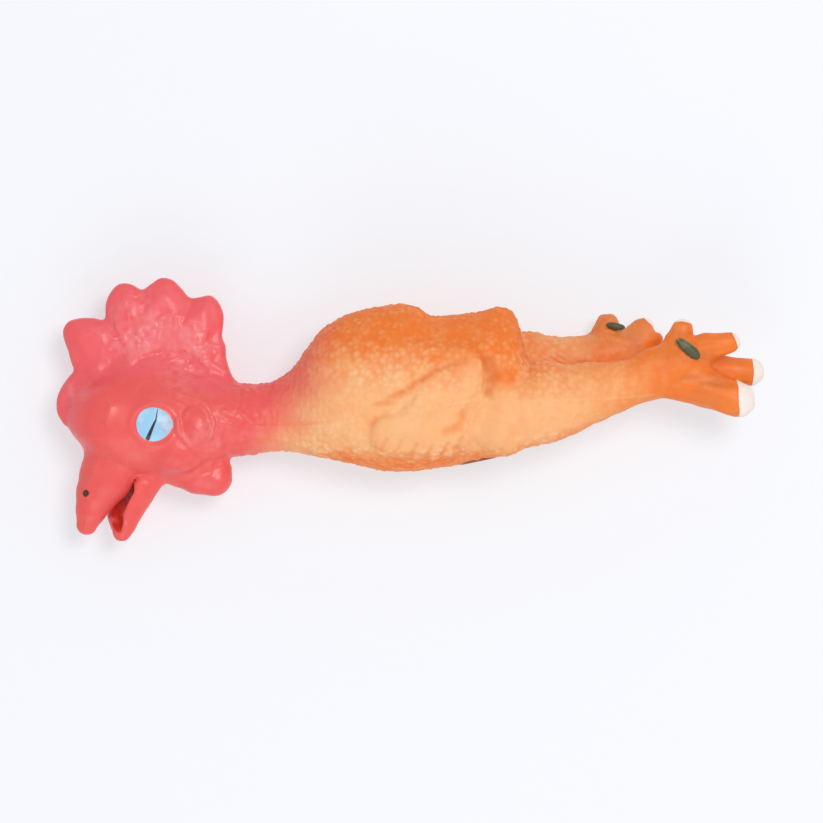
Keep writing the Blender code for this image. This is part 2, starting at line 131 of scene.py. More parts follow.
# Comb: root, and the reach of its edge at each angle in degrees, from the nape round to the forehead.
COMB_ROOT = (-104.6, 4.6)
COMB_EDGE = [(-90, 12), (-10, 20), (14, 33.4), (22, 33.8), (30, 34.8), (36, 37.0), (42, 38.4), (50, 45.2),
             (60, 48.4), (65, 45.6), (69, 44.0), (75, 46.6), (80, 49.0), (85, 49.3), (90, 46.6), (94.5, 44.5),
             (100, 47.3), (105, 48.4), (111, 46.0), (115, 43.0), (120, 37.4), (125, 40.2), (131, 43.6),
             (137, 45.8), (142, 44.9), (150, 38.3), (155, 35.4), (159, 33.3), (164, 34.3), (172, 36.4),
             (181, 38.0), (190, 37.6), (205, 30.0), (225, 18), (270, 12)]
COMB_RIM, COMB_BODY, COMB_FOOT = 3.6, 5.6, 8.6     # half thicknesses

UPPER_BEAK = [(-117.0, -15.0, 14.0), (-122.4, -26.0, 11.0), (-126.2, -33.0, 8.5), (-128.6, -39.4, 6.2),
              (-130.4, -45.4, 4.3)]
LOWER_BEAK = [(-105.0, -23.0, 8.0), (-112.0, -33.0, 8.0), (-114.6, -39.4, 6.8), (-115.6, -45.4, 4.8),
              (-116.4, -48.6, 3.7)]
EAR_LOBE = (-85.8, -5.4)
WATTLE = [(-98.0, -18.2, 8.5), (-92.6, -21.4, 8.8), (-85.0, -24.2, 9.0), (-79.5, -26.4, 7.3),
          (-78.8, -23.4, 6.5)]
# The lower beak's hollow, and the wall on its far side: z counts from the head's mid plane.
SPOON = [(-115.0, -31.0, 3.8, 4.2), (-119.6, -38.0, 3.6, 4.6), (-118.4, -44.0, 3.6, 2.6),
         (-117.6, -47.2, 3.6, 1.2)]
SPOON_HEIGHT = 1.6           # times its half width
FAR_WALL = [(-108.0, -28.0, -8.6, 5.4), (-117.0, -37.0, -7.0, 4.4), (-118.8, -42.0, -4.6, 3.6),
            (-118.6, -45.6, -3.0, 3.0)]
MOUTH_GAP = 1.4

LEFT_LEG = [(30, -4, 35.5, 13.0), (44, 0.8, 35.5, 14.9), (53.4, 3.6, 35.2, 15.8), (61, 4.5, 34.6, 13.8),
            (71.4, 7.4, 33.6, 11.9), (80.2, 9.4, 32.8, 10.2), (91.4, 12.9, 31.8, 8.9), (98, 15.6, 31.2, 9.4)]
RIGHT_LEG = [(32, 19.5, 14.5, 11.5), (44, 21.8, 13.2, 10.0), (48.5, 22.3, 12.8, 9.6), (56, 21.6, 12.2, 8.4),
             (66, 21.8, 11.6, 8.2), (76, 22.6, 11.0, 8.2)]
# Feet: palms and toes as (x, y, z, radius) chains. A toe's nail is painted on what lies beyond the end of
# its chain by more than the first number, towards the direction in the three that follow.
LEFT_PALM = [(98, 15.6, 31.2, 9.4), (105, 17.0, 31.0, 10.0), (111, 15.0, 30.6, 9.4)]
RIGHT_PALM = [(76, 22.6, 11.0, 8.2), (83, 24.5, 10.6, 8.6), (88, 25.5, 10.2, 7.6)]
TOES = {
    "left_inner_toe": [(107, 20.5, 32.0, 8.0), (117, 25.2, 33.2, 5.8), (126.0, 27.3, 34.2, 4.4)],
    "left_middle_toe": [(110, 17.0, 27.8, 7.0), (122, 17.0, 26.6, 5.6), (135.4, 15.7, 26.0, 5.4)],
    "left_outer_toe": [(105, 13.0, 31.0, 8.2), (117, 9.4, 32.0, 7.6), (129.4, 4.6, 32.6, 7.0)],
    "left_hallux": [(104.6, 22.5, 32.0, 7.4), (106.6, 29.0, 33.0, 5.0), (107.6, 32.2, 33.6, 4.4)],
    "right_inner_toe": [(86, 24.5, 9.6, 7.2), (90.6, 29.6, 9.0, 5.4), (93.4, 32.8, 9.0, 4.9)],
    "right_middle_toe": [(86, 26.0, 10.6, 6.6), (93, 28.2, 11.4, 4.2), (98.6, 28.9, 11.6, 3.2)],
    "right_outer_toe": [(83, 22.0, 11.4, 6.4), (90, 18.0, 11.6, 5.2), (94.6, 16.0, 11.4, 4.4)],
    "right_hallux": [(77.6, 27.0, 11.0, 6.8), (78.6, 32.0, 11.2, 5.2), (79.2, 34.7, 11.4, 4.8)],
}
NAILS = {
    "left_inner_toe": (2.5, (0.9, 0.4, -0.1)), "left_middle_toe": (0.3, (1.0, 0.0, -0.1)),
    "left_outer_toe": (0.2, (1.0, 0.06, 0.0)), "left_hallux": (2.3, (0.15, 0.95, -0.3)),
    "right_inner_toe": (2.9, (0.75, 0.55, -0.35)), "right_middle_toe": (1.6, (0.7, 0.2, -0.7)),
    "right_outer_toe": (1.0, (0.8, -0.4, -0.4)), "right_hallux": (2.2, (0.1, 0.6, -0.8)),
}
ELBOW_RECESS = [(30.4, 20.4), (32.0, 15.0), (30.6, 7.4)]
ARM_EDGE = [(0.0, 26.6), (12.0, 27.8), (20.2, 26.4), (26.0, 22.0), (28.2, 15.0), (27.0, 8.0)]
TOE_CREASES = [[(108.0, 13.4), (116.0, 12.6), (126.0, 11.0)], [(116.0, 21.4), (123.0, 21.0), (130.0, 20.8)]]
SPURS = {"left": ((109.5, 24.7, 40.0), (6.3, 2.15, 2.2), -41),
         "right": ((82.4, 34.2, 16.9), (4.0, 1.5, 1.8), -10)}

ARM_THICKNESS, PAD_THICKNESS = 2.2, 2.0
WING = [  # upper arm, forearm, hand pad: capsules (x, y, radius) -> (x, y, radius)
    ((-16.0, 18.0, 11.0), (19.6, 17.4, 9.2)),
    ((20.0, 15.0, 9.0), (6.0, -4.0, 10.0)),
    ((6.0, -8.4, 9.6), (-9.0, -9.4, 7.8)),
    ((8.0, -9.0, 9.4), (17.0, -8.0, 7.4)),
]
FEATHERS = [(-9.4, -15.0), (-3.6, -16.0), (2.4, -16.8), (8.6, -17.4), (14.8, -16.6), (20.2, -14.4)]
SMALL_CREASES = [  # line, depth and width
    ([(-15.8, 2.8), (-6.2, 3.4)], 0.5, 0.8), ([(-16.6, -5.4), (-14.4, -2.6), (-10.6, -1.0)], 0.7, 1.3),
    ([(13.6, -8.6), (18.4, -6.0), (21.0, -1.6)], 0.9, 1.7),
]
WING_FOLD = [(-13.0, 3.0), (-6.0, 6.4), (0.4, 10.2), (7.6, 15.0), (14.0, 18.4), (20.4, 20.2)]


# ---- distance functions: each shape is (low corner, high corner, distance(x, y, z)) ------------------
def smooth_min(a, b, k):
    h = np.maximum(k - np.abs(a - b), 0.0) / k
    return np.minimum(a, b) - h * h * k * 0.25


def smooth_max(a, b, k):
    return -smooth_min(-a, -b, k)


def smoothstep(low, high, value):
    t = np.clip((value - low) / (high - low), 0.0, 1.0)
    return t * t * (3 - 2 * t)


def turned(dx, dy, turn):
    """A place in the plane, read along axes turned by an angle in degrees."""
    c, s = math.cos(math.radians(turn)), math.sin(math.radians(turn))
    return dx * c + dy * s, -dx * s + dy * c


def blob(centre, radii, turn=0.0):
    """An ellipsoid turned about Z by an angle in degrees."""
    centre, radii = np.array(centre, float), np.array(radii, float)
    reach = radii.max() + 6

    def distance(x, y, z):
        along, across = turned(x - centre[0], y - centre[1], turn)
        u, v, w = along / radii[0], across / radii[1], (z - centre[2]) / radii[2]
        k0 = np.sqrt(u * u + v * v + w * w) + 1e-6
        k1 = np.sqrt((u / radii[0]) ** 2 + (v / radii[1]) ** 2 + (w / radii[2]) ** 2) + 1e-6
        return k0 * (k0 - 1) / k1
    return centre - reach, centre + reach, distance


def rope(path, flat=1.0, k=1.5):
    """A round tapered chain through (x, y, z, radius) points; flat scales its thickness in z."""
    path = np.array(path, float)
    reach = path[:, 3].max() + 6

    def distance(x, y, z):
        total = None
        for a, b in zip(path, path[1:]):
            d = b - a
            length = d[:3] @ d[:3]
            t = ((x - a[0]) * d[0] + (y - a[1]) * d[1] + (z - a[2]) * d[2]) / length
            t = np.clip(t, 0.0, 1.0)
            ex, ey = x - a[0] - t * d[0], y - a[1] - t * d[1]
            ez = (z - a[2] - t * d[2]) / flat
            one = np.sqrt(ex * ex + ey * ey + ez * ez) - (a[3] + t * d[3])
            total = one if total is None else smooth_min(total, one, k)
        return total
    return path[:, :3].min(0) - reach, path[:, :3].max(0) + reach, distance


def through(x, xs, ys):
    """Smooth curve through (xs, ys), read at x: cubic Hermite with limited slopes."""
    xs, ys = np.array(xs, float), np.array(ys, float)
    steps = np.diff(ys) / np.diff(xs)
    slopes = np.zeros_like(ys)
    slopes[0], slopes[-1] = steps[0], steps[-1]
    slopes[1:-1] = np.where(steps[:-1] * steps[1:] > 0, (steps[:-1] + steps[1:]) / 2,
                            (steps[:-1] + steps[1:]) / 4)
    x = np.clip(x, xs[0], xs[-1])
    i = np.clip(np.searchsorted(xs, x, side="right") - 1, 0, len(xs) - 2)
    span = xs[i + 1] - xs[i]
    t = (x - xs[i]) / span
    return ((2 * t**3 - 3 * t**2 + 1) * ys[i] + (t**3 - 2 * t**2 + t) * span * slopes[i]
            + (3 * t**2 - 2 * t**3) * ys[i + 1] + (t**3 - t**2) * span * slopes[i + 1])


def body_section(x):
    """Half height, mid y, half thickness and mid z of the body at x."""
    table = np.array(BODY)
    back, belly, half_z, mid_z = (through(x, table[:, 0], table[:, c]) for c in (1, 2, 3, 4))
    return (back - belly) / 2, (back + belly) / 2, half_z, mid_z


def body_shape():
    low = (BODY[0][0] - 8, -34, -8)
    high = (BODY[-1][0] + 8, 52, 58)

    def distance(x, y, z):
        half_y, mid_y, half_z, mid_z = body_section(x)
        dy, dz = y - mid_y, z - mid_z
        power = SECTION_POWER
        k = (np.abs(dy / half_y) ** power + np.abs(dz / half_z) ** power) ** (1 / power)
        radius = np.sqrt(dy * dy + dz * dz)
        radial = np.where(k > 1e-3, radius * (1 - 1 / np.maximum(k, 1e-3)), -half_z)
        beyond = np.maximum(np.maximum(BODY[0][0] - x, x - BODY[-1][0]), 0.0)
        return np.where(beyond > 0, np.hypot(np.maximum(radial, 0), beyond), radial)
    return low, high, distance


def comb_outline(x, y):
    """Signed distance in the comb's plane, negative inside."""
    dx, dy = x - COMB_ROOT[0], y - COMB_ROOT[1]
    angle = np.degrees(np.arctan2(dy, dx))
    angle = np.where(angle < -90, angle + 360, angle)
    angles, reaches = zip(*COMB_EDGE)
    edge = through(angle, angles, reaches)
    steepness = (through(angle + 1, angles, reaches) - through(angle - 1, angles, reaches)) / math.radians(2)
    return (np.hypot(dx, dy) - edge) / np.sqrt(1 + (steepness / edge) ** 2)


def comb_shape():
    low, high = (-146, -14, HEAD_Z - 14), (-66, 58, HEAD_Z + 14)

    def distance(x, y, z):
        rim = comb_outline(x, y)
        depth = -rim
        half = COMB_RIM + (COMB_BODY - COMB_RIM) * smoothstep(1, 9, depth)
        root = np.hypot(x - COMB_ROOT[0], y - COMB_ROOT[1])
        half = half + (COMB_FOOT - COMB_BODY) * smoothstep(24, 8, root)
        half = half - 0.9 * np.exp(-((root - 19.0) / 5.0) ** 2)
        side = np.abs(z - HEAD_Z) - half
        edge = 3.0
        u, v = side + edge, rim + edge
        return np.hypot(np.maximum(u, 0), np.maximum(v, 0)) + np.minimum(np.maximum(u, v), 0) - edge
    return low, high, distance


def capsule_2d(x, y, a, b):
    d = (b[0] - a[0], b[1] - a[1])
    t = np.clip(((x - a[0]) * d[0] + (y - a[1]) * d[1]) / (d[0] ** 2 + d[1] ** 2), 0, 1)
    return np.hypot(x - a[0] - t * d[0], y - a[1] - t * d[1]) - (a[2] + t * (b[2] - a[2]))


def wing_outline(x, y):
    outline = None
    for a, b in WING:
        part = capsule_2d(x, y, a, b)
        outline = part if outline is None else smooth_min(outline, part, 2.0)
    for fx, fy in FEATHERS:
        stub = capsule_2d(x, y, (fx, fy, 1.9), (fx + 3.0, fy + 6.0, 2.6))
        outline = smooth_min(outline, stub, 0.8)
    return outline


def at_head(chain):
    """Chain points whose z counts from the head's mid plane."""
    return [(x, y, HEAD_Z + z, r) for x, y, z, r in chain]


def below_face(x, y):
    """Distance past the line where the face ends and the beak begins."""
    return -(y + 21.0) - 0.45 * (x + 113.0)


def mid_head(chain):
    """Chain points (x, y, radius) laid in the head's mid plane."""
    return [(x, y, HEAD_Z, r) for x, y, r in chain]


def upper_beak():
    return rope(mid_head(UPPER_BEAK), 0.86)


def lower_beak_forms():
    """The lower beak's body, the wall on its far side and the spoon that hollows it."""
    body = rope(mid_head(LOWER_BEAK), 0.82)
    return body, rope(at_head(FAR_WALL), 0.9), rope(at_head(SPOON), SPOON_HEIGHT, 1.0)


def lower_beak():
    """The lower beak with its hollow, clear of the upper beak by the mouth's gap."""
    body, far_wall, spoon = lower_beak_forms()
    upper = upper_beak()

    def distance(x, y, z):
        form = smooth_min(body[2](x, y, z), far_wall[2](x, y, z), 1.5)
        form = smooth_max(form, -spoon[2](x, y, z), 0.8)
        return smooth_max(form, MOUTH_GAP - upper[2](x, y, z), 0.4)
    return body[0], body[1], distance


def wing_thickness(x, y):
    """The arm rises from nothing at the shoulder, and the hand pad stands out evenly."""
    arm = ARM_THICKNESS * smoothstep(-20.0, 12.0, x - 0.3 * (y - 16.0))
    pad = PAD_THICKNESS * smoothstep(-24.0, -12.0, x)
    return arm + (pad - arm) * smoothstep(8.0, -6.0, y)


class Clay:
    """A solid held as its signed distance on a regular grid."""

    def __init__(self, low, high, step):
        self.low, self.step = np.array(low, float), step
        self.axes = [np.arange(l, h + step, step) for l, h in zip(low, high)]
        self.field = np.full([len(a) for a in self.axes], FAR, np.float32)

    def window(self, low, high):
        places = []
        for axis, l, h in zip(self.axes, low, high):
            i = max(int(np.searchsorted(axis, l)) - 1, 0)
            j = min(int(np.searchsorted(axis, h)) + 1, len(axis))
            places.append(slice(i, max(j, i + 1)))
        x, y, z = (self.axes[n][places[n]] for n in range(3))
        return tuple(places), x[:, None, None], y[None, :, None], z[None, None, :]

    def add(self, shape, k=2.0):
        """Join a shape with a fillet of k, which may be a function of the place."""
        place, x, y, z = self.window(shape[0], shape[1])
        fillet = k(x, y, z) if callable(k) else k
        self.field[place] = smooth_min(self.field[place], shape[2](x, y, z), fillet)

    def cut(self, shape, k=1.0):
        place, x, y, z = self.window(shape[0], shape[1])
        self.field[place] = smooth_max(self.field[place], -shape[2](x, y, z), k)

    def thicken(self, low, high, outline, thickness, side, k):
        """Raise the surface inside a flat outline, by thickness(x, y), on the side of z that is given."""
        place, x, y, z = self.window(low, high)
        here = self.field[place]
        mid_z = body_section(x)[3]
        region = smooth_max(outline(x, y) + 0 * z, (mid_z - z) * side + 2.0, 3.0)
        raised = smooth_max(here - thickness(x, y), region, 3.4)
        self.field[place] = smooth_min(here, raised, k)

    def skin(self):
        """Surface nets: points in mm and quads."""
        field = self.field
        inside = field < 0
        cells = [n - 1 for n in field.shape]
        corners = [(i, j, k) for i in (0, 1) for j in (0, 1) for k in (0, 1)]

        def corner(array, c):
            return array[c[0]:c[0] + cells[0], c[1]:c[1] + cells[1], c[2]:c[2] + cells[2]]

        count = sum(corner(inside, c).astype(np.int8) for c in corners)
        mixed = (count > 0) & (count < 8)
        place = np.argwhere(mixed)
        number = np.full(cells, -1, np.int64)
        number[mixed] = np.arange(len(place))
        values = {c: corner(field, c)[mixed].astype(float) for c in corners}
        total, hits = np.zeros((len(place), 3)), np.zeros(len(place))
        for a in corners:
            for axis in range(3):
                if a[axis]:
                    continue
                b = tuple(v + (n == axis) for n, v in enumerate(a))
                crosses = (values[a] < 0) != (values[b] < 0)
                share = values[a] / np.where(crosses, values[a] - values[b], 1.0)
                spot = np.repeat(np.array(a, float)[None], len(place), 0)
                spot[:, axis] += share
                total += spot * crosses[:, None]
                hits += crosses
        points = self.low + self.step * (place + total / hits[:, None])
        quads = []
        for axis in range(3):
            one, two = (axis + 1) % 3, (axis + 2) % 3
            start = [slice(1, n - 1) for n in field.shape]
            start[axis] = slice(0, field.shape[axis] - 1)
            after = list(start)
            after[axis] = slice(1, field.shape[axis])
            a, b = inside[tuple(start)], inside[tuple(after)]
            base = np.argwhere(a != b) + [s.start for s in start]
            outward = a[a != b]
            ring = []
            for shift_one, shift_two in ((1, 1), (0, 1), (0, 0), (1, 0)):
                cell = base.copy()
                cell[:, one] -= shift_one
                cell[:, two] -= shift_two
                ring.append(number[cell[:, 0], cell[:, 1], cell[:, 2]])
            ring = np.stack(ring, 1)
            ring[~outward] = ring[~outward][:, ::-1]
            quads.append(ring)
        return points, np.concatenate(quads)


def sculpt():
    clay = Clay(GRID_LOW, GRID_HIGH, GRID_STEP)
    clay.add(body_shape(), 1.0)
    clay.add(comb_shape(), 5.0)
    # head features: brow, cheeks, ear lobes, wattle, throat
    for sign in (1, -1):
        clay.add(blob((-120.0, -3.0, HEAD_Z + sign * 8.5), (12, 13, 8.5), 20), 6.0)
        clay.add(blob((-103.0, -4.4, HEAD_Z + sign * 11.0), (10.5, 10.0, 6.6)), 4.0)
        clay.add(blob((*EAR_LOBE, HEAD_Z + sign * 13.4), (5.8, 7.6, 4.2), 12), 1.2)
        clay.add(blob((-93.0, -17.0, HEAD_Z + sign * 9.5), (9.5, 7.0, 6.4), -10), 4.0)
    clay.add(rope(mid_head(WATTLE), 0.8), 3.0)
    clay.add(upper_beak(), 4.0)
    clay.add(lower_beak(), lambda x, y, z: 0.3 + 2.4 * smoothstep(2.0, 6.0, upper_beak()[2](x, y, z)))
    # body: thighs, tail, far wing, near wing
    clay.add(rope(LEFT_LEG, 0.86), 4.0)
    clay.add(rope(RIGHT_LEG, 0.95), 3.5)
    clay.add(blob((35.6, -6.0, 37.4), (11.8, 12.0, 11.6)), 1.6)
    clay.add(blob((35.0, 33.2, 25.5), (7.0, 8.2, 9.0), -20), 3.0)
    clay.add(blob((-14.0, 24.0, 13.0), (23.0, 16.0, 12.4), -14), 3.0)
    clay.thicken((-36, -28, 20), (36, 36, 58), wing_outline, wing_thickness, 1, 1.6)
    # feet
    clay.add(rope(LEFT_PALM, 0.9), 4.0)
    clay.add(rope(RIGHT_PALM, 0.9), 4.0)
    for path in TOES.values():
        clay.add(rope(path, 0.94), 1.6)
    for centre, radii, turn in SPURS.values():
        clay.add(blob(centre, radii, turn), 1.0)
    # squeaker bore and the flat the toy rests on
    x0, y0, z0 = SQUEAKER
    turn = math.radians(SQUEAKER_TURN)

    def bore(x, y, z):
        along = (x - x0) * -math.sin(turn) + (y - y0) * math.cos(turn)
        across = (x - x0) * math.cos(turn) + (y - y0) * math.sin(turn)
        return np.maximum(np.hypot(across, z - z0) - BORE_RADIUS, along - BORE_DEPTH)
    clay.cut(((x0 - 12, y0 - 12, z0 - 12), (x0 + 12, y0 + 16, z0 + 12), bore), 0.8)
    everywhere = (GRID_LOW, (GRID_HIGH[0], GRID_HIGH[1], 4.0), lambda x, y, z: z + 0 * x + 0 * y)
    clay.cut(everywhere, 0.8)
    return clay.skin()


# ---- mesh steps --------------------------------------------------------------------------------------
def relax(points, quads, rounds=5):
    """Taubin smoothing, which takes the grid's steps away and keeps the volume."""
    edges = np.concatenate([quads[:, [i, (i + 1) % 4]] for i in range(4)])
    a, b = np.concatenate([edges[:, 0], edges[:, 1]]), np.concatenate([edges[:, 1], edges[:, 0]])
    degree = np.bincount(a, minlength=len(points))[:, None]
    for _ in range(rounds):
        for amount in (0.55, -0.57):
            mean = np.stack([np.bincount(a, points[b, c], len(points)) for c in range(3)], 1) / degree
            points = points + amount * (mean - points)
    return points


def subdivided(points, quads):
    """One Catmull-Clark step, by Blender's modifier."""
    mesh = bpy.data.meshes.new("raw_skin")
    mesh.from_pydata(points, [], quads)
    holder = bpy.data.objects.new("raw_skin", mesh)
    bpy.context.scene.collection.objects.link(holder)
    modifier = holder.modifiers.new("subdivision", "SUBSURF")
    modifier.levels = modifier.render_levels = 1
    result = holder.evaluated_get(bpy.context.evaluated_depsgraph_get()).to_mesh()
    fine = np.zeros(len(result.vertices) * 3)
    result.vertices.foreach_get("co", fine)
    faces = np.zeros(len(result.loops), np.int64)
    result.loops.foreach_get("vertex_index", faces)
    bpy.data.objects.remove(holder)
    bpy.data.meshes.remove(mesh)
    return fine.reshape(-1, 3), faces.reshape(-1, 4)


def normals_of(points, quads):
    across = np.cross(points[quads[:, 2]] - points[quads[:, 0]], points[quads[:, 3]] - points[quads[:, 1]])
    total = np.zeros_like(points)
    for corner in range(4):
        for c in range(3):
            total[:, c] += np.bincount(quads[:, corner], across[:, c], len(points))
    return total / (np.linalg.norm(total, axis=1, keepdims=True) + 1e-12)


# ---- noise -------------------------------------------------------------------------------------------
def lattice(cell, seed):
    """A repeatable number from 0 to 1 for each lattice cell."""
    n = (cell[..., 0] * 374761393 + cell[..., 1] * 668265263 + cell[..., 2] * 2147483647 + seed * 1274126177)
    n = (n ^ (n >> 13)) * 1274126177
    n = n & 0x7FFFFFFF
    n = ((n ^ (n >> 16)) * 1103515245) & 0x7FFFFFFF
    return n / 0x7FFFFFFF


def noise(points, size, seed=0):
    """Smooth value noise from -1 to 1."""
    spot = points / size
    cell = np.floor(spot).astype(np.int64)
    f = spot - cell
    f = f * f * (3 - 2 * f)
    total = np.zeros(len(points))
    for i in (0, 1):
        for j in (0, 1):
            for k in (0, 1):
                weight = (np.where(i, f[:, 0], 1 - f[:, 0]) * np.where(j, f[:, 1], 1 - f[:, 1])
                          * np.where(k, f[:, 2], 1 - f[:, 2]))
                total += weight * lattice(cell + (i, j, k), seed)
    return total * 2 - 1


def nearest_cell(points, size, seed=0, jitter=0.8):
    """Distance to the nearest jittered lattice point, in cells, and that point's own number."""
    spot = points / size
    cell = np.floor(spot).astype(np.int64)
    best, own = np.full(len(points), 9.0), np.zeros(len(points))
    for i in (-1, 0, 1):
        for j in (-1, 0, 1):
            for k in (-1, 0, 1):
                near = cell + (i, j, k)
                feature = np.stack([near[:, c] + 0.5 + jitter * (lattice(near, seed + 7 * c) - 0.5)
                                    for c in range(3)], 1)
                d = np.linalg.norm(spot - feature, axis=1)
                closer = d < best
                best = np.where(closer, d, best)
                own = np.where(closer, lattice(near, seed + 31), own)
    return best, own


def along_path(x, y, path):
    """Distance in the plane to a path of (x, y) points."""
    best = np.full(np.shape(x), FAR)
    for a, b in zip(path, path[1:]):
        best = np.minimum(best, capsule_2d(x, y, (*a, 0), (*b, 0)))
    return best


# ---- moulded detail ----------------------------------------------------------------------------------
COMB_CREST = [(-120.0, 20.0), (-113.8, 18.2), (-107.8, 22.4), (-97.2, 25.2), (-87.6, 23.2), (-80.0, 16.0)]
COMB_NOTCHES = [(-135.8, 15.6), (-122.6, 37.0), (-107.4, 47.2), (-87.8, 44.4), (-77.0, 33.0)]
CRINKLED = [  # middle, radius and strength of each crinkled patch
    (-109.0, 35.0, 12.0, 1.0), (-85.0, 26.0, 8.0, 1.0), (-118.0, 27.0, 6.0, 0.6), (-92.0, 12.0, 8.0, 0.7),
    (-136.0, 8.0, 4.0, 0.8), (-79.0, -9.0, 8.0, 0.8), (-82.0, -23.0, 8.0, 0.4),
]
BEAK_CREASE = [(-131.5, -14.5), (-123.4, -18.6), (-113.0, -23.4), (-105.5, -27.0)]
PARTING = [(-74.0, 3.4), (-68.6, 0.6), (-63.8, -4.4), (-55.8, -6.0), (-30.2, -4.8), (-5.0, 0.2), (5.0, 0.8),
           (25.0, 4.2), (53.0, 4.6), (72.0, 4.8), (92.0, 6.0), (98.0, 7.0)]
HEAD_RIDGES = [  # line, height and width of the small ridges that catch the light
    ([(-119.2, 1.8), (-120.8, -4.4)], 0.50, 1.6), ([(-137.0, 9.0), (-133.4, 4.6)], 0.60, 1.7),
    ([(-134.6, 15.0), (-130.0, 12.6)], 0.45, 1.2), ([(-125.4, -20.6), (-129.4, -29.6)], 0.60, 1.5),
    ([(-84.4, -22.0), (-78.6, -19.2)], 0.55, 1.1), ([(-89.0, 18.0), (-82.0, 20.2), (-75.0, 15.4)], 0.60, 1.1),
    ([(-86.6, 12.6), (-80.0, 13.0), (-74.0, 8.4)], 0.45, 1.1), ([(-101.4, 7.6), (-98.4, 5.4)], 0.45, 1.5),
    ([(-129.8, -41.0), (-130.6, -46.0)], 0.35, 1.2), ([(-112.4, -33.0), (-114.4, -44.0)], 0.35, 1.0),
    ([(-128.0, 33.0), (-121.0, 31.0)], 0.35, 1.6), ([(-74.6, 0.0), (-68.0, -3.4)], 0.40, 0.9),
]
NOSTRIL = (-130.1, -32.6)
THIGH_DOME, DOME_RIM = (34.8, -6.4), 11.6
KNEE_FOLDS = [[(60.0, 17.4), (65.0, 18.2)], [(66.6, 19.6), (74.0, 18.2)]]
HEAD_BACK = (-74, -66)       # where the head's relief fades into the neck's
RESTING_BAND, LIFT_OFF = 1.2, 0.02      # the skin that lies on the paper, and how far it stays above it
EYE_MIDDLE = node_middle("left_eye")[:2] + np.array((0.9, -0.3))
EYE_RADII = (7.4, 6.9)
PUPIL_LINE = [(1.3, 6.0), (0.5, 1.6), (-2.7, -5.5)]      # from the eye's middle


def gauss(distance, width):
    return np.exp(-(distance / width) ** 2)


def head_detail(p, facing):
    """Folds of comb and face, eyelids, nostrils and beak creases."""
    x, y, z = p.T
    side = np.abs(facing)
    head = 1 - smoothstep(*HEAD_BACK, x)
    on_head = head * side
    depth = -comb_outline(x, y)
    beak = smoothstep(0.0, 3.0, below_face(x, y))
    off_skull = smoothstep(0.5, 4.0, np.hypot((x + 104.0) / 1.5, y + 4.0) - 16.0)
    comb = head * smoothstep(-1.0, 1.5, depth) * off_skull * smoothstep(-12.0, 0.0, y)

    dx, dy = x - COMB_ROOT[0], y - COMB_ROOT[1]
    reach, angle = np.hypot(dx, dy), np.arctan2(dy, dx)
    fan = np.stack([angle * 30.0, reach * 0.5, z * 0.6], 1)
    folds = 1 - np.abs(noise(fan, 5.0, 3))
    crinkle = 1 - np.abs(noise(p + 3.0 * noise(p, 7.0, 9)[:, None], 2.6, 5))
    patch = sum(a * gauss(np.hypot(x - cx, y - cy), r) for cx, cy, r, a in CRINKLED)
    height = on_head * patch * 0.55 * (crinkle**3 - 0.3)
    height += comb * side * 0.22 * (folds**3 - 0.3)
    over_crest = y - through(x, *zip(*COMB_CREST))
    puff = smoothstep(-1.8, 1.0, over_crest) * (1 - 0.7 * smoothstep(3.0, 16.0, over_crest))
    height += comb * side * 0.9 * puff * smoothstep(-117, -112, x) * smoothstep(-79, -84, x)
    for notch in COMB_NOTCHES:
        inner = tuple(np.array(COMB_ROOT) + 0.80 * (np.array(notch) - COMB_ROOT))
        height -= comb * side * 0.45 * gauss(along_path(x, y, [notch, inner]), 1.3)
    height += on_head * (0.35 * noise(p, 11.0, 34) + 0.16 * noise(p, 5.0, 35))
    for line, tall, wide in HEAD_RIDGES:
        height += on_head * tall * gauss(along_path(x, y, line), wide)

    face = on_head * (1 - comb) * (1 - beak)
    eye = np.hypot((x - EYE_MIDDLE[0]) / EYE_RADII[0], (y - EYE_MIDDLE[1]) / EYE_RADII[1])
    lid, groove, socket = gauss(eye - 1.25, 0.16), gauss(eye - 1.03, 0.08), smoothstep(1.0, 0.9, eye)
    height += face * (0.22 * lid - 0.42 * groove - 0.5 * socket)
    ear = np.hypot((x + 85.8) / 6.4, (y + 4.4) / 8.4) + 0.16 * noise(p, 5.0, 21)
    broken = np.clip(0.5 + 1.1 * noise(p, 6.0, 22), 0, 1)
    height += face * broken * 0.75 * (gauss(ear - 1.0, 0.13) - 0.6 * gauss(ear - 1.3, 0.14))
    height += face * (1 - broken) * 0.6 * gauss(ear - 0.55, 0.13)
    height += face * 0.12 * (crinkle**4 - 0.25) * smoothstep(1.3, 2.0, eye) * smoothstep(-104, -92, x)
    height -= on_head * 0.45 * gauss(along_path(x, y, BEAK_CREASE), 1.8) * (1 - comb)
    nostril = np.hypot(x - NOSTRIL[0], y - NOSTRIL[1])
    height -= on_head * 0.55 * gauss(nostril, 0.9)
    height += on_head * 0.25 * gauss(nostril - 1.7, 0.6)
    ripple = noise(np.stack([x * 0.5, y * 0.5, z], 1), 2.6, 33)
    height += head * beak * 0.06 * ripple
    # Painted highlight: the crinkled patches of comb and face are painted a paler pink, where their fine
    # wrinkles catch the light.
    bloom = on_head * np.clip(patch, 0, 1)
    return height, {"comb": comb, "nostril": nostril, "bloom": bloom}


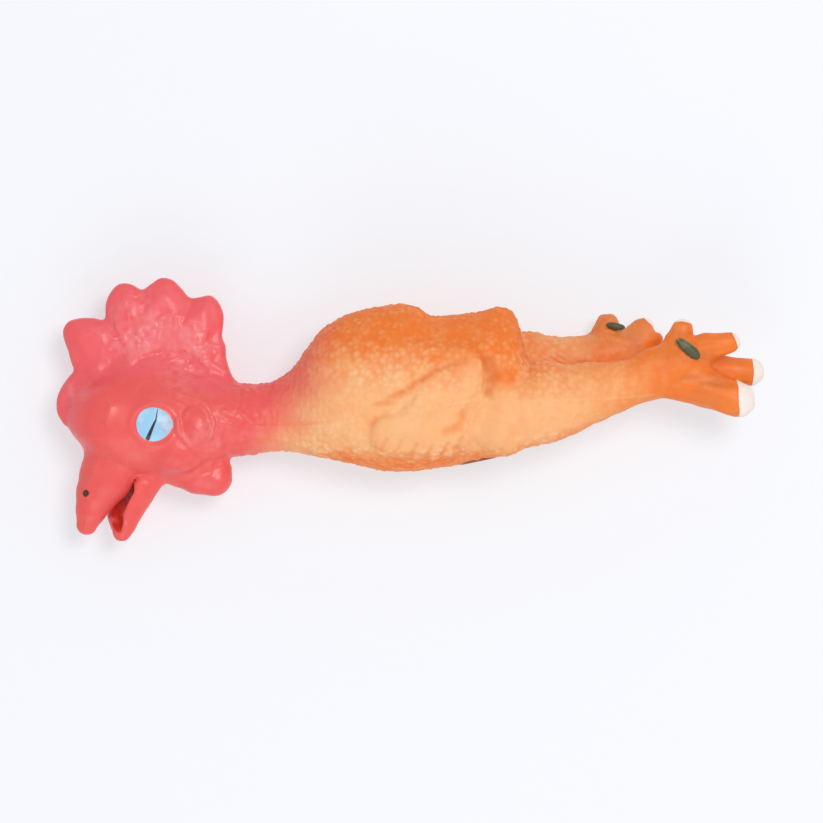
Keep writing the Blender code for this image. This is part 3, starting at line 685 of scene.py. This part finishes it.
def body_detail(p, facing):
    """Plucked skin, wing folds, thigh creases, wrinkles and the parting line of the mould."""
    x, y, z = p.T
    side = np.maximum(facing, 0.0)
    skin = smoothstep(-76, -66, x) * (1 - smoothstep(84, 99, x))
    hand, elbow = np.hypot((x + 3) / 1.7, y + 7.5), np.hypot((x - 22.5) / 0.8, (y - 15.0) / 1.5)
    pad = np.maximum(gauss(hand, 8.0), gauss(elbow, 5.5))
    from_dome = np.hypot(x - THIGH_DOME[0], y - THIGH_DOME[1])
    dome = gauss(from_dome, 10.5)
    calm = np.clip(1.15 * side * np.maximum(pad, dome), 0, 0.92)
    calm = np.maximum(calm, 0.55 * smoothstep(50, 68, x))
    edge = smoothstep(0.95, 0.45, np.abs(facing))
    near, own = nearest_cell(p, 2.35, 11)
    dimple = gauss(near, 0.60) * (0.75 + 0.5 * own)
    pebble = skin * (1 - calm) * (0.32 + 0.34 * edge)
    height = pebble * (dimple - 0.45)
    height += skin * 0.20 * noise(p, 7.0, 12) + skin * 0.30 * noise(p, 16.0, 13)

    fold = along_path(x, y, WING_FOLD)
    height -= side * 0.9 * gauss(fold, 2.0) * gauss(x - 8.0, 16.0) * (0.75 + 0.5 * noise(p, 3.0, 16))
    recess = along_path(x, y, ELBOW_RECESS) / 2.4
    height -= side * 1.7 * gauss(recess, 1.0)
    height += side * 0.40 * gauss(along_path(x, y, ARM_EDGE), 1.2)
    small = np.zeros(len(p))
    for line, deep, wide in SMALL_CREASES:
        crease = gauss(along_path(x, y, line), wide)
        height -= side * deep * crease
        small = np.maximum(small, side * deep * crease)
    height -= side * 0.8 * gauss(from_dome - DOME_RIM, 1.3) * smoothstep(36, 27, x)
    for fx, fy in FEATHERS:
        quill = gauss(along_path(x, y, [(fx - 3.0, fy - 0.6), (fx - 0.4, fy + 4.0)]), 0.7)
        height -= side * 0.65 * quill
        small = np.maximum(small, side * 0.8 * quill)
    knee = gauss(np.hypot(x - 57.0, y - 17.5), 6.0)
    height += side * knee * 0.35 * np.sin((x * 0.6 + y) * 2.6)
    neck = gauss(x + 57.0, 12.0)
    height += neck * 0.16 * noise(np.stack([x * 2.4, y * 0.6, z * 0.6], 1), 3.0, 14)

    parting = through(x, *zip(*PARTING))
    line = np.abs(y - parting - 0.25 * noise(p, 9.0, 15))
    seam = gauss(line, 0.5) * smoothstep(0.35, 0.7, np.abs(facing)) * smoothstep(-72, -66, x)
    seam = seam * (1 - smoothstep(94, 99, x)) * (1 - 0.75 * gauss(x - 2.0, 17.0) * (facing > 0))
    height += 0.26 * seam
    above_parting = gauss(y - (parting + 1.0), 0.7)
    neck_crease = above_parting * smoothstep(-72, -66, x) * smoothstep(-28, -42, x) * (facing > 0)
    height -= 0.45 * neck_crease
    knee_folds = np.max([gauss(along_path(x, y, line), 0.9) for line in KNEE_FOLDS], 0)
    height -= side * 0.5 * knee_folds
    return height, {"dimple": dimple, "skin": skin * (1 - calm), "fold": fold, "recess": recess, "seam": seam,
                    "small": small, "dome": dome * side, "pad": pad * side}


def toe_measures(p):
    """For each point: its nearest toe, the signed distance into that toe's nail, and the toe's distance."""
    best, nail = np.full(len(p), FAR), np.full(len(p), -FAR)
    which = np.full(len(p), -1)
    for number, (name, path) in enumerate(TOES.items()):
        a, b = np.array(path[-2]), np.array(path[-1])
        d = b[:3] - a[:3]
        t = np.clip((p - a[:3]) @ d / (d @ d), 0, 1)
        gap = np.linalg.norm(p - a[:3] - t[:, None] * d, axis=1) - b[3]
        offset, direction = NAILS[name]
        direction = np.array(direction) / np.linalg.norm(direction)
        depth = (p - b[:3]) @ direction - offset + 0.25 * noise(p, 3.0, 40 + number)
        closer = gap < best
        best, nail = np.where(closer, gap, best), np.where(closer, depth, nail)
        which = np.where(closer, number, which)
    return which, np.where(best < 3.0, nail, -FAR), best


def spur_measure(p):
    """Signed distance past the painted edge of the spurs, positive on the paint."""
    best = np.full(len(p), -FAR)
    for (cx, cy, cz), (rx, ry, rz), turn in SPURS.values():
        along, across = turned(p[:, 0] - cx, p[:, 1] - cy, turn)
        u, v = along / (rx + 0.1), across / (ry + 0.2)
        k = np.sqrt(u * u + v * v + ((p[:, 2] - cz) / (rz + 1.2)) ** 2)
        best = np.maximum(best, (1 - k) * ry + 0.18 * noise(p, 1.6, 50))
    return best


def detailed(points, quads):
    """Add the moulded relief, and work out what the paint needs to know at each point."""
    n = normals_of(points, quads)
    facing = n[:, 2]
    head, head_marks = head_detail(points, facing)
    body, body_marks = body_detail(points, facing)
    _, claw, _ = toe_measures(points)
    spur = spur_measure(points)
    x, y, z = points.T
    foot = smoothstep(92, 102, x) * (z > 16) + smoothstep(66, 76, x) * (z <= 22) * (x < 106)
    foot = np.clip(foot, 0, 1)
    tendon = noise(np.stack([x * 0.35, y * 1.3, z * 1.3], 1), 3.0, 60)
    between_toes = sum(gauss(along_path(x, y, line), 1.9) for line in TOE_CREASES) * np.maximum(facing, 0)
    height = head + body + foot * (0.32 * tendon + 0.12 * noise(points, 2.2, 61)) - 0.7 * between_toes
    height = height + 0.28 * smoothstep(-0.15, 0.25, claw) + 0.12 * smoothstep(-0.1, 0.3, spur)
    height = np.where(z < RESTING_BAND, np.minimum(height, 0.0), height)
    points = points + n * height[:, None]
    points[:, 2] = np.maximum(points[:, 2], LIFT_OFF)
    marks = {"facing": facing, "claw": claw, "spur": spur, "foot": foot, "head": head_marks,
             "body": body_marks, "height": height, "creases": between_toes}
    return points, marks


# ---- paint: what each attribute says, from 0 to 1 or as a signed distance in mm ----------------------
def painted(p, marks):
    x, y, z = p.T
    facing, foot = marks["facing"], marks["foot"]
    head, body = marks["head"], marks["body"]
    drift = 2.6 * noise(p, 9.0, 70) + 1.6 * noise(p, 3.0, 71)
    edge = smoothstep(0.85, 0.25, np.abs(facing))
    reach = -46.5 + 7.0 * smoothstep(-2, 12, y) - 8.0 * smoothstep(-4, -14, y)
    red = 1 - smoothstep(reach - 18, reach + 18, x + drift)

    dorsal = smoothstep(3, 33, y + drift + 0.06 * (x - 5.0))
    rear = gauss(x - 38.0, 8.5) * smoothstep(3, 14, y)
    off_pad = smoothstep(-0.4, 0.8, wing_outline(x, y))
    behind_neck = smoothstep(-50, -30, x)
    ventral = smoothstep(-13.5, -18.5, y + 0.5 * drift) * behind_neck * smoothstep(60, 40, x) * off_pad
    legs = smoothstep(52, 106, x + 1.5 * drift)
    under = 0.8 * edge * behind_neck
    # The wing fold and the elbow recess: orange paint lies in the fold, and both are darkened with painted
    # shade through deep.
    fold = gauss(body["fold"], 1.6) * (facing > 0.2) * gauss(x - 8, 16)
    crease = np.where(facing > 0, np.maximum(fold, 0.9 * gauss(body["recess"], 0.8)), 0.0)
    orange = np.max([dorsal, 0.9 * rear, 0.85 * ventral, legs * 0.9, under * 0.75, 0.75 * crease, foot], 0)
    far_leg = (rope(RIGHT_LEG)[2](x, y, z) < rope(LEFT_LEG)[2](x, y, z)) * smoothstep(42, 47, x) * (z < 26)
    far_tint = (0.42 + 0.25 * noise(p, 8.0, 73)) * far_leg
    orange = np.where(far_leg > 0, np.maximum(0.75 * foot, far_tint), orange)
    belt = 0.35 + 0.65 * smoothstep(0.02, 0.3, orange) * (1 - 0.4 * smoothstep(0.7, 1.0, orange))
    orange = orange + body["skin"] * belt * 0.55 * (0.42 - body["dimple"])
    # More orange in the small creases and between the quills, paint together with painted shade; paler on the
    # thigh dome and hand pad, and on the raised parting line as a painted highlight.
    orange = orange + 0.5 * body["small"] - 0.25 * body["dome"] - 0.2 * body["pad"] - 0.18 * body["seam"]
    # Painted shade: darker on the far leg, which lies lower behind the near leg, and in the creases between
    # the toes.
    shade = 0.38 * far_leg + 0.6 * foot * smoothstep(0.1, 0.8, marks["creases"])
    # The feet's own reddish mottling, a real colour, is added to the same mask.
    mottle = 0.5 * smoothstep(0.0, 0.7, noise(p, 7.5, 75)) + 0.2 * smoothstep(0, 0.6, noise(p, 2.6, 76))
    shade = shade + foot * mottle
    # deep holds painted shade in the wing fold, the elbow recess and the mask above, together with the feet's
    # mottling.
    deep = np.clip(np.maximum(0.5 * crease + 0.45 * gauss(body["recess"], 0.9) * (facing > 0), shade), 0, 1)

    in_body, in_far_wall, in_spoon = (form[2](x, y, z) for form in lower_beak_forms())
    in_lower = np.minimum(in_body, in_far_wall)
    upper = upper_beak()[2](x, y, z)
    off_upper = smoothstep(0.35 * MOUTH_GAP, 0.65 * MOUTH_GAP, upper)
    cleft = smoothstep(0.2, -0.7, in_lower) * smoothstep(MOUTH_GAP + 1.5, MOUTH_GAP + 0.7, upper)
    cleft = cleft * smoothstep(-26.5, -29.0, y)
    mouth = off_upper * np.clip(np.maximum(smoothstep(0.55, 0.15, in_spoon), cleft), 0, 1)
    nostril = np.clip(1.35 - head["nostril"] + 0.25 * noise(p, 0.9, 72), -2, 2)
    return {
        "red": np.clip(red, 0, 1), "orange": np.clip(orange, 0, 1), "deep": deep, "mouth": mouth,
        "claw": np.clip(marks["claw"], -2, 2), "spur": np.clip(marks["spur"], -2, 2),
        "nostril": np.where(np.abs(facing) > 0.3, nostril, -2.0),
        "gloss": np.clip(1 - smoothstep(-70, -44, x) + 0.35 * foot, 0, 1),
        "spur_sheen": smoothstep(0.6, 2.4, (y - 24.7) - 0.3 * (x - 110.5)) * (z > 30),
        "bloom": head["bloom"] * (0.6 + 0.8 * noise(p, 2.2, 74)),
        "comb": head["comb"], "relief": np.clip(marks["height"], -1, 1),
    }


# ---- materials ---------------------------------------------------------------------------------------
PEACH, PALE_PEACH, ORANGE = (0.905, 0.450, 0.184, 1), (0.915, 0.490, 0.232, 1), (0.850, 0.190, 0.016, 1)
# Reds; the last of them is the paler pink of the painted highlights on the head.
RED, COMB_RED, PAINTED_HIGHLIGHT_PINK = (0.83, 0.102, 0.094, 1), (0.85, 0.112, 0.124, 1), (0.90, 0.36, 0.36, 1)
# The first colour on the next line darkens the painted shade, and also gives the feet their own mottling.
SHADE_AND_MOTTLE_BROWN, MOUTH_RED = (0.60, 0.165, 0.045, 1), (0.62, 0.036, 0.018, 1)
CLAW_WHITE, SPUR_GREEN, SPUR_GREY = (0.90, 0.80, 0.72, 1), (0.085, 0.090, 0.040, 1), (0.34, 0.32, 0.26, 1)
NOSTRIL_BROWN = (0.07, 0.035, 0.015, 1)
EYE_BLUE, EYE_LILAC, PUPIL = (0.33, 0.62, 0.84, 1), (0.42, 0.48, 0.62, 1), (0.02, 0.022, 0.03, 1)
GRAIN_TINT, CLAW_STAIN = (0.96, 0.86, 0.82, 1), (0.88, 0.62, 0.50, 1)
EYE_PALE, EYE_RIM = (0.55, 0.76, 0.90, 1), (0.62, 0.40, 0.50, 1)
SQUEAKER_BROWN, FILM = (0.40, 0.125, 0.056, 1), (0.62, 0.58, 0.50, 1)


class Shader:
    """A material's node tree, with short ways to add nodes."""

    def __init__(self, name, roughness=0.4, ior=1.5):
        self.material = bpy.data.materials.new(name)
        self.material.use_nodes = True
        self.tree = self.material.node_tree
        self.surface = self.tree.nodes["Principled BSDF"]
        self.surface.inputs["Roughness"].default_value = roughness
        self.surface.inputs["IOR"].default_value = ior

    def node(self, kind, **values):
        node = self.tree.nodes.new(kind)
        for key, value in values.items():
            setattr(node, key, value)
        return node

    def link(self, source, target):
        self.tree.links.new(source, target)

    def attribute(self, name, vector=False):
        node = self.node("ShaderNodeAttribute", attribute_name=name)
        return node.outputs["Vector" if vector else "Fac"]

    def remap(self, value, low, high, to_low=0.0, to_high=1.0):
        node = self.node("ShaderNodeMapRange", interpolation_type="SMOOTHSTEP")
        self.link(value, node.inputs["Value"])
        for key, number in (("From Min", low), ("From Max", high), ("To Min", to_low), ("To Max", to_high)):
            node.inputs[key].default_value = number
        return node.outputs["Result"]

    def mix(self, a, b, share, blend="MIX"):
        node = self.node("ShaderNodeMix", data_type="RGBA", blend_type=blend)
        for socket, value in ((node.inputs[6], a), (node.inputs[7], b), (node.inputs[0], share)):
            if isinstance(value, (tuple, float)):
                socket.default_value = value
            else:
                self.link(value, socket)
        return node.outputs[2]

    def math(self, operation, a, b):
        node = self.node("ShaderNodeMath", operation=operation)
        for socket, value in zip(node.inputs, (a, b)):
            if isinstance(value, float):
                socket.default_value = value
            else:
                self.link(value, socket)
        return node.outputs[0]

    def noise(self, scale, detail=3.0, rough=0.55, place=None):
        node = self.node("ShaderNodeTexNoise")
        self.link(self.attribute("rest", True) if place is None else place, node.inputs["Vector"])
        node.inputs["Scale"].default_value = scale
        node.inputs["Detail"].default_value = detail
        node.inputs["Roughness"].default_value = rough
        return node.outputs["Fac"]

    def bump(self, height, depth, normal=None):
        node = self.node("ShaderNodeBump")
        node.inputs["Distance"].default_value = depth
        self.link(height, node.inputs["Height"])
        if normal is not None:
            self.link(normal, node.inputs["Normal"])
        return node.outputs["Normal"]

    def finish(self, colour=None, roughness=None, normal=None):
        for socket, value in (("Base Color", colour), ("Roughness", roughness), ("Normal", normal)):
            if value is not None:
                self.link(value, self.surface.inputs[socket])
        return self.material


def latex_material():
    """Airbrushed latex: base colours, paint and grain all follow the attributes of the skin."""
    s = Shader("latex", 0.42, 1.42)
    s.surface.inputs["Subsurface Weight"].default_value = 0.10
    s.surface.inputs["Subsurface Radius"].default_value = (1.0, 0.35, 0.2)
    s.surface.inputs["Subsurface Scale"].default_value = 0.002
    cloud, grain = s.noise(160.0, 4.0), s.noise(900.0, 3.0)
    orange = s.math("ADD", s.attribute("orange"), s.remap(cloud, 0.3, 0.7, -0.10, 0.10))
    # Paler peach on raised relief: a painted highlight on the tops of the pebbles and ridges.
    peach = s.mix(PEACH, PALE_PEACH, s.remap(s.attribute("relief"), 0.0, 0.3))
    colour = s.mix(peach, ORANGE, orange)
    warm = s.mix(RED, COMB_RED, s.attribute("comb"))
    # Painted highlights: paler pink on the crinkled patches and on the raised relief of the head.
    warm = s.mix(warm, PAINTED_HIGHLIGHT_PINK, s.math("MULTIPLY", s.attribute("bloom"), 0.34))
    warm = s.mix(warm, PAINTED_HIGHLIGHT_PINK, s.remap(s.attribute("relief"), 0.25, 0.9, 0.0, 0.22))
    red = s.math("ADD", s.attribute("red"), s.remap(cloud, 0.3, 0.7, -0.05, 0.05))
    colour = s.mix(colour, warm, red)
    # Painted shade in creases, recesses, between the toes and on the far leg, with the feet's own mottling.
    colour = s.mix(colour, SHADE_AND_MOTTLE_BROWN, s.math("MULTIPLY", s.attribute("deep"), 0.55))
    colour = s.mix(colour, GRAIN_TINT, s.remap(grain, 0.35, 0.75, 0.0, 0.25), "MULTIPLY")
    colour = s.mix(colour, MOUTH_RED, s.attribute("mouth"))
    white = s.mix(CLAW_WHITE, CLAW_STAIN, s.remap(cloud, 0.45, 0.8, 0.0, 0.35))
    colour = s.mix(colour, white, s.remap(s.attribute("claw"), -0.12, 0.14))
    sheen = s.math("MULTIPLY", s.attribute("spur_sheen"), s.remap(cloud, 0.35, 0.6))
    green = s.mix(SPUR_GREEN, SPUR_GREY, sheen)
    colour = s.mix(colour, green, s.remap(s.attribute("spur"), -0.10, 0.12))
    colour = s.mix(colour, NOSTRIL_BROWN, s.remap(s.attribute("nostril"), -0.10, 0.16))
    roughness = s.remap(s.attribute("gloss"), 0.0, 1.0, 0.56, 0.32)
    roughness = s.math("ADD", roughness, s.remap(cloud, 0.3, 0.7, -0.05, 0.07))
    normal = s.bump(grain, 0.00006)
    normal = s.bump(s.noise(2600.0, 2.0), 0.00003, normal)
    return s.finish(colour, roughness, normal)


def eye_material():
    s = Shader("eye_paint", 0.2, 1.5)
    cloud = s.noise(170.0, 3.0)
    colour = s.mix(EYE_BLUE, EYE_LILAC, s.math("MULTIPLY", s.attribute("shade"), s.remap(cloud, 0.35, 0.6)))
    colour = s.mix(colour, EYE_PALE, s.remap(cloud, 0.5, 0.7, 0.0, 0.5))
    colour = s.mix(colour, EYE_RIM, s.remap(s.attribute("rim"), 0.93, 1.0, 0.0, 0.6))
    colour = s.mix(colour, PUPIL, s.remap(s.attribute("pupil"), -0.10, 0.10))
    roughness = s.remap(cloud, 0.3, 0.7, 0.26, 0.38)
    return s.finish(colour, roughness, s.bump(s.noise(700.0, 3.0), 0.00004))


def plastic_material(name, colour, roughness):
    """Moulded plastic of the squeaker, read from the node's own coordinates."""
    s = Shader(name, roughness, 1.46)
    mottle = s.noise(600.0, 3.0, 0.5, s.node("ShaderNodeTexCoord").outputs["Object"])
    darker = tuple(0.7 * c for c in colour[:3]) + (1,)
    rough = s.remap(mottle, 0.3, 0.7, roughness - 0.06, roughness + 0.08)
    return s.finish(s.mix(colour, darker, mottle), rough, s.bump(mottle, 0.00003))


# ---- pieces ------------------------------------------------------------------------------------------
NECK_START, NECK_END = NECK[0] - 6.0, NECK[1] + 6.0
HIP_START, HIP_END = max(LEFT_HIP[0], RIGHT_HIP[0]) + 0.6, LEFT_HIP[1] + 6.0
JAW_DIRECTION = (-0.45, -0.89)
JAW_SEAM = 4.0


def along_jaw(x, y):
    """Distance out from the jaw's pivot, along the beak."""
    return (x - JAW[0]) * JAW_DIRECTION[0] + (y - JAW[1]) * JAW_DIRECTION[1]


def mesh_object(name, points, faces, attributes, material):
    """An object from points in mm, with its paint attributes and its places at rest."""
    mesh = bpy.data.meshes.new(name)
    mesh.from_pydata(to_frame(points), [], faces)
    for key, values in attributes.items():
        layer = mesh.attributes.new(key, "FLOAT", "POINT")
        layer.data.foreach_set("value", values.astype(np.float32))
    rest = mesh.attributes.new("rest", "FLOAT_VECTOR", "POINT")
    rest.data.foreach_set("vector", to_frame(points).astype(np.float32).ravel())
    mesh.shade_smooth()
    mesh.materials.append(material)
    obj = bpy.data.objects.new(name, mesh)
    bpy.context.scene.collection.objects.link(obj)
    return obj


def make_piece(name, points, quads, normals, attributes, material):
    """A piece from some of the skin's quads, with the whole skin's normals so that no seam shows."""
    used, local = np.unique(quads, return_inverse=True)
    own = {key: values[used] for key, values in attributes.items()}
    obj = mesh_object(name, points[used], local.reshape(-1, 4), own, material)
    obj.data.normals_split_custom_set_from_vertices(normals[used])
    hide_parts(*REPLACED[name])
    return obj


def region_of(centres, facing):
    """The name of the piece that each quad belongs to."""
    x, y, z = centres.T
    names = np.full(len(centres), "torso_skin", dtype=object)
    names[x < NECK_END] = "neck_skin_flex"
    head = x < NECK_START
    names[head] = "head_skin"
    off_body = body_shape()[2](x, y, z)
    comb = head & (off_body > 1.2) & (comb_outline(x, y) < 2.0) & (y > -14) & (np.abs(z - HEAD_Z) < 11)
    names[comb & ((y > 8) | (x < -131.5))] = "comb_flesh"
    names[head & (off_body > 0.9) & (y < -17.5) & (x > -100)] = "wattle_flesh"
    for side, sign in (("left", 1), ("right", -1)):
        lobe = np.hypot((x - EAR_LOBE[0]) / 6.2, (y - EAR_LOBE[1]) / 8.0) < 1
        names[head & lobe & (sign * (z - HEAD_Z) > 8)] = side + "_ear_lobe_flesh"
    on_beak = head & (below_face(x, y) > 0)
    on_upper = upper_beak()[2](x, y, z) < lower_beak()[2](x, y, z)
    names[on_beak & on_upper & (x < -104)] = "upper_beak_skin"
    names[head & ~on_upper & (along_jaw(x, y) > JAW_SEAM) & (x < -99)] = "lower_beak_skin"

    wing = (x > -40) & (x < 38) & (wing_outline(x, y) < 0.4) & (facing > 0.25) & (z > 30)
    names[wing] = "left_wing_skin"
    names[(x > 27) & (x < 45) & (y > 31)] = "tail_skin"
    far_wing = np.hypot((x + 14) / 22, (y - 25) / 16) < 1
    names[far_wing & (z < 16) & (facing < -0.1)] = "right_wing_skin"
    left = rope(LEFT_LEG)[2](x, y, z) < rope(RIGHT_LEG)[2](x, y, z)
    left_side = (left | (x > 106)) & ~((z < 20) & (x < 106))
    past_rump = x > HIP_START
    names[past_rump & left_side] = "left_leg_skin"
    names[past_rump & ~left_side] = "right_leg_skin"
    names[past_rump & left_side & (x > LEFT_ANKLE[0] - 4)] = "left_foot_skin"
    names[past_rump & ~left_side & (x > RIGHT_ANKLE[0] - 2)] = "right_foot_skin"
    which, claw, gap = toe_measures(centres)
    for number, name in enumerate(TOES):
        path = TOES[name]
        a, b = np.array(path[0][:3]), np.array(path[-1][:3])
        share = (centres - a) @ (b - a) / ((b - a) @ (b - a))
        on_toe = (which == number) & (gap < 2.4) & (share > 0.42) & past_rump
        names[on_toe] = name + "_skin"
        names[on_toe & (claw > -0.3)] = name + "_claw_tip"
    spur = spur_measure(centres)
    names[(spur > -0.3) & (z > 26)] = "left_spur_bump"
    names[(spur > -0.3) & (z <= 26)] = "right_spur_bump"
    return names


REPLACED = {
    "head_skin": ["head_shell"], "comb_flesh": ["comb"], "wattle_flesh": ["wattle"],
    "neck_skin_flex": ["neck_skin"], "upper_beak_skin": ["upper_beak"], "lower_beak_skin": ["lower_beak"],
    "left_ear_lobe_flesh": ["left_ear_lobe"], "right_ear_lobe_flesh": ["right_ear_lobe"],
    "torso_skin": ["torso_shell", "left_flank"], "left_wing_skin": ["left_wing"],
    "right_wing_skin": ["right_wing"], "tail_skin": ["tail"],
}
for side in ("left", "right"):
    REPLACED[side + "_leg_skin"] = [side + "_hip_skin", side + "_drumstick"]
    REPLACED[side + "_foot_skin"] = [side + "_foot", side + "_ankle_skin"]
    REPLACED[side + "_spur_bump"] = [side + "_spur"]
for toe in TOES:
    REPLACED[toe + "_skin"] = [toe]
    REPLACED[toe + "_claw_tip"] = [toe + "_claw"]


def bend(obj):
    """Attach a piece to the body that it follows, or bake its place into its mesh."""
    name = obj.name
    if name == "neck_skin_flex":
        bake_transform(obj)
    elif name == "lower_beak_skin":
        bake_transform(obj)
    elif name in ("torso_skin", "left_wing_skin"):
        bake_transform(obj)
    elif name in ("right_wing_skin", "tail_skin"):
        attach(obj, "torso")
    elif name.endswith("leg_skin"):
        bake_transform(obj)
    elif name.endswith("foot_skin"):
        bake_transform(obj)
    elif "toe" in name or "hallux" in name or "spur" in name:
        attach(obj, name.split("_")[0] + "_foot")
    else:
        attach(obj, "head")


def make_casting(material):
    points, quads = sculpt()
    points = relax(points, quads)
    points, quads = subdivided(points, quads)
    points, marks = detailed(points, quads)
    normals = normals_of(points, quads)
    attributes = painted(points, marks)
    centres = points[quads].mean(1)
    names = region_of(centres, normals[quads[:, 0]][:, 2])
    for name in sorted(set(names)):
        chosen = quads[names == name]
        bend(make_piece(name, points, chosen, normals, attributes, material))
    return points


def surface_height(points, x, y, sign):
    """The skin's outermost z near a place, on one side, from its nearest points."""
    reach, least_height, spread = 12, 8, 0.8
    beside = np.abs(points[:, :2] - np.array(EYE_MIDDLE)).max(1) < reach
    near = points[beside & (sign * (points[:, 2] - HEAD_Z) > least_height)]
    d = (near[None, :, 0] - x[:, None]) ** 2 + (near[None, :, 1] - y[:, None]) ** 2
    weight = np.exp(-d / spread)
    return (weight * near[None, :, 2]).sum(1) / weight.sum(1)


def dome_faces(rings, spokes, mirrored):
    """Faces of a dome's front and back, and of the strip between their edges."""
    count = rings * spokes + 1
    grid = np.arange(rings * spokes).reshape(rings, spokes)
    faces = []
    for offset, flip in ((0, mirrored), (count, not mirrored)):
        for i in range(rings - 1):
            for j in range(spokes):
                a, b = grid[i, j], grid[i, (j + 1) % spokes]
                c, d = grid[i + 1, (j + 1) % spokes], grid[i + 1, j]
                ring = [a + offset, d + offset, c + offset, b + offset]
                faces.append(ring[::-1] if flip else ring)
        for j in range(spokes):
            fan = [count - 1 + offset, grid[0, j] + offset, grid[0, (j + 1) % spokes] + offset]
            faces.append(fan[::-1] if flip else fan)
    for j in range(spokes):
        a, b = grid[-1, j], grid[-1, (j + 1) % spokes]
        ring = [a, a + count, b + count, b]
        faces.append(ring[::-1] if mirrored else ring)
    return faces


def make_eye(side, sign, skin_points, material):
    """A painted dome: rings of points over the eyeball, closed by a shallow back."""
    rings, spokes = 26, 96
    share = np.linspace(0, 1, rings + 1)[1:]
    angle = 2 * np.pi * np.arange(spokes) / spokes
    outline = 1 + 0.02 * np.sin(3 * angle + 1.9)
    outline = outline - 0.06 * gauss(angle - 5.5, 0.5) + 0.03 * gauss(angle - 2.4, 0.5)
    rho = share[:, None] * outline[None]
    x = EYE_MIDDLE[0] + EYE_RADII[0] * rho * np.cos(angle)
    y = EYE_MIDDLE[1] + EYE_RADII[1] * rho * np.sin(angle)
    x, y = np.append(x.ravel(), EYE_MIDDLE[0]), np.append(y.ravel(), EYE_MIDDLE[1])
    radius = np.append(np.repeat(share, spokes), 0.0)
    upper, waist, lower = (np.array(spot) + EYE_MIDDLE for spot in PUPIL_LINE)
    slit = -np.minimum(capsule_2d(x, y, (*upper, 0.14), (*waist, 0.38)),
                       capsule_2d(x, y, (*waist, 0.38), (*lower, 0.85)))
    lift = 0.62 * (1 - radius**3) + 0.02 - 0.10 * smoothstep(0.95, 1.0, radius)
    lift = lift - 0.10 * smoothstep(-0.1, 0.2, slit)
    z = surface_height(skin_points, x, y, sign) + sign * lift
    front = np.stack([x, y, z], 1)
    back = front.copy()
    back[:, 2] -= sign * (0.35 + 0.6 * (1 - radius))
    shade = smoothstep(-1.0, 5.0, x - EYE_MIDDLE[0] - 0.6 * (y - EYE_MIDDLE[1]))
    marks = {"pupil": np.tile(slit, 2), "rim": np.tile(radius, 2), "shade": np.tile(shade, 2)}
    faces = dome_faces(rings, spokes, sign < 0)
    obj = mesh_object(side + "_eye_dome", np.concatenate([front, back]), faces, marks, material)
    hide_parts(side + "_eye")
    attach(obj, "head")


def dress_squeaker():
    """The squeaker's CAD nodes keep their shape and get their plastic."""
    brown = plastic_material("squeaker_brown", SQUEAKER_BROWN, 0.34)
    film = plastic_material("reed_film", FILM, 0.45)
    for node, material in (("squeaker_housing", brown), ("squeaker_cap", brown),
                           ("squeaker_reed_plate", brown), ("squeaker_reed", film)):
        obj = frame["nodes"][node]
        for slot in obj.material_slots:
            slot.material = material


# ---- studio ------------------------------------------------------------------------------------------
FIELD_OF_VIEW = 0.3292      # metres across the picture, at the height of the body's middle
CAMERA_DISTANCE = 1.30
BODY_MIDDLE = 0.025
SENSOR = 36.0
PAPER = (0.420, 0.426, 0.440, 1)
PAPER_SIZE, PAPER_DROP = 8.0, 0.0002
PAPER_GRAIN, GRAIN_SHADE = 900.0, 0.99
SKY, SKY_STRENGTH = (0.93, 0.95, 1.0, 1), 0.64
PAPER_GLOW = 1.16            # the paper lies on a light table, so shadows on it stay pale


def make_floor():
    bpy.ops.mesh.primitive_plane_add(size=PAPER_SIZE, location=(0, 0, -PAPER_DROP))
    floor = bpy.context.object
    floor.name = "studio_floor"
    s = Shader("studio_paper", 0.9, 1.3)
    grain = s.node("ShaderNodeTexNoise")
    grain.inputs["Scale"].default_value = PAPER_GRAIN
    darker = tuple(GRAIN_SHADE * c for c in PAPER[:3]) + (1,)
    s.finish(s.mix(PAPER, darker, grain.outputs["Fac"]))
    s.surface.inputs["Emission Color"].default_value = PAPER
    s.surface.inputs["Emission Strength"].default_value = PAPER_GLOW
    floor.data.materials.append(s.material)


def make_light(name, place, size, energy, colour=(1, 1, 1)):
    light = bpy.data.lights.new(name, "AREA")
    light.shape, light.size, light.energy, light.color = "DISK", size, energy, colour
    lamp = bpy.data.objects.new(name, light)
    lamp.location = place
    lamp.rotation_euler = (-Vector(place)).to_track_quat("-Z", "Y").to_euler()
    bpy.context.scene.collection.objects.link(lamp)


def make_studio():
    make_floor()
    make_light("key", place=(0.42, 0.36, 1.50), size=0.60, energy=10.3, colour=(1.0, 0.985, 0.965))
    make_light("fill", place=(-0.15, -1.15, 0.85), size=0.9, energy=4.0)
    world = bpy.data.worlds.new("studio")
    world.use_nodes = True
    background = world.node_tree.nodes["Background"].inputs
    background["Color"].default_value = SKY
    background["Strength"].default_value = SKY_STRENGTH
    bpy.context.scene.world = world
    data = bpy.data.cameras.new("camera")
    data.sensor_width = SENSOR
    data.lens = SENSOR * CAMERA_DISTANCE / FIELD_OF_VIEW
    camera = bpy.data.objects.new("camera", data)
    centre = to_frame((0, 0, 0))
    camera.location = (centre[0], centre[1], BODY_MIDDLE + CAMERA_DISTANCE)
    bpy.context.scene.collection.objects.link(camera)
    bpy.context.scene.camera = camera
    bpy.context.scene.view_settings.view_transform = "Standard"


def main():
    make_studio()
    skin_points = make_casting(latex_material())
    paint = eye_material()
    for side, sign in (("left", 1), ("right", -1)):
        make_eye(side, sign, skin_points, paint)
    dress_squeaker()


main()
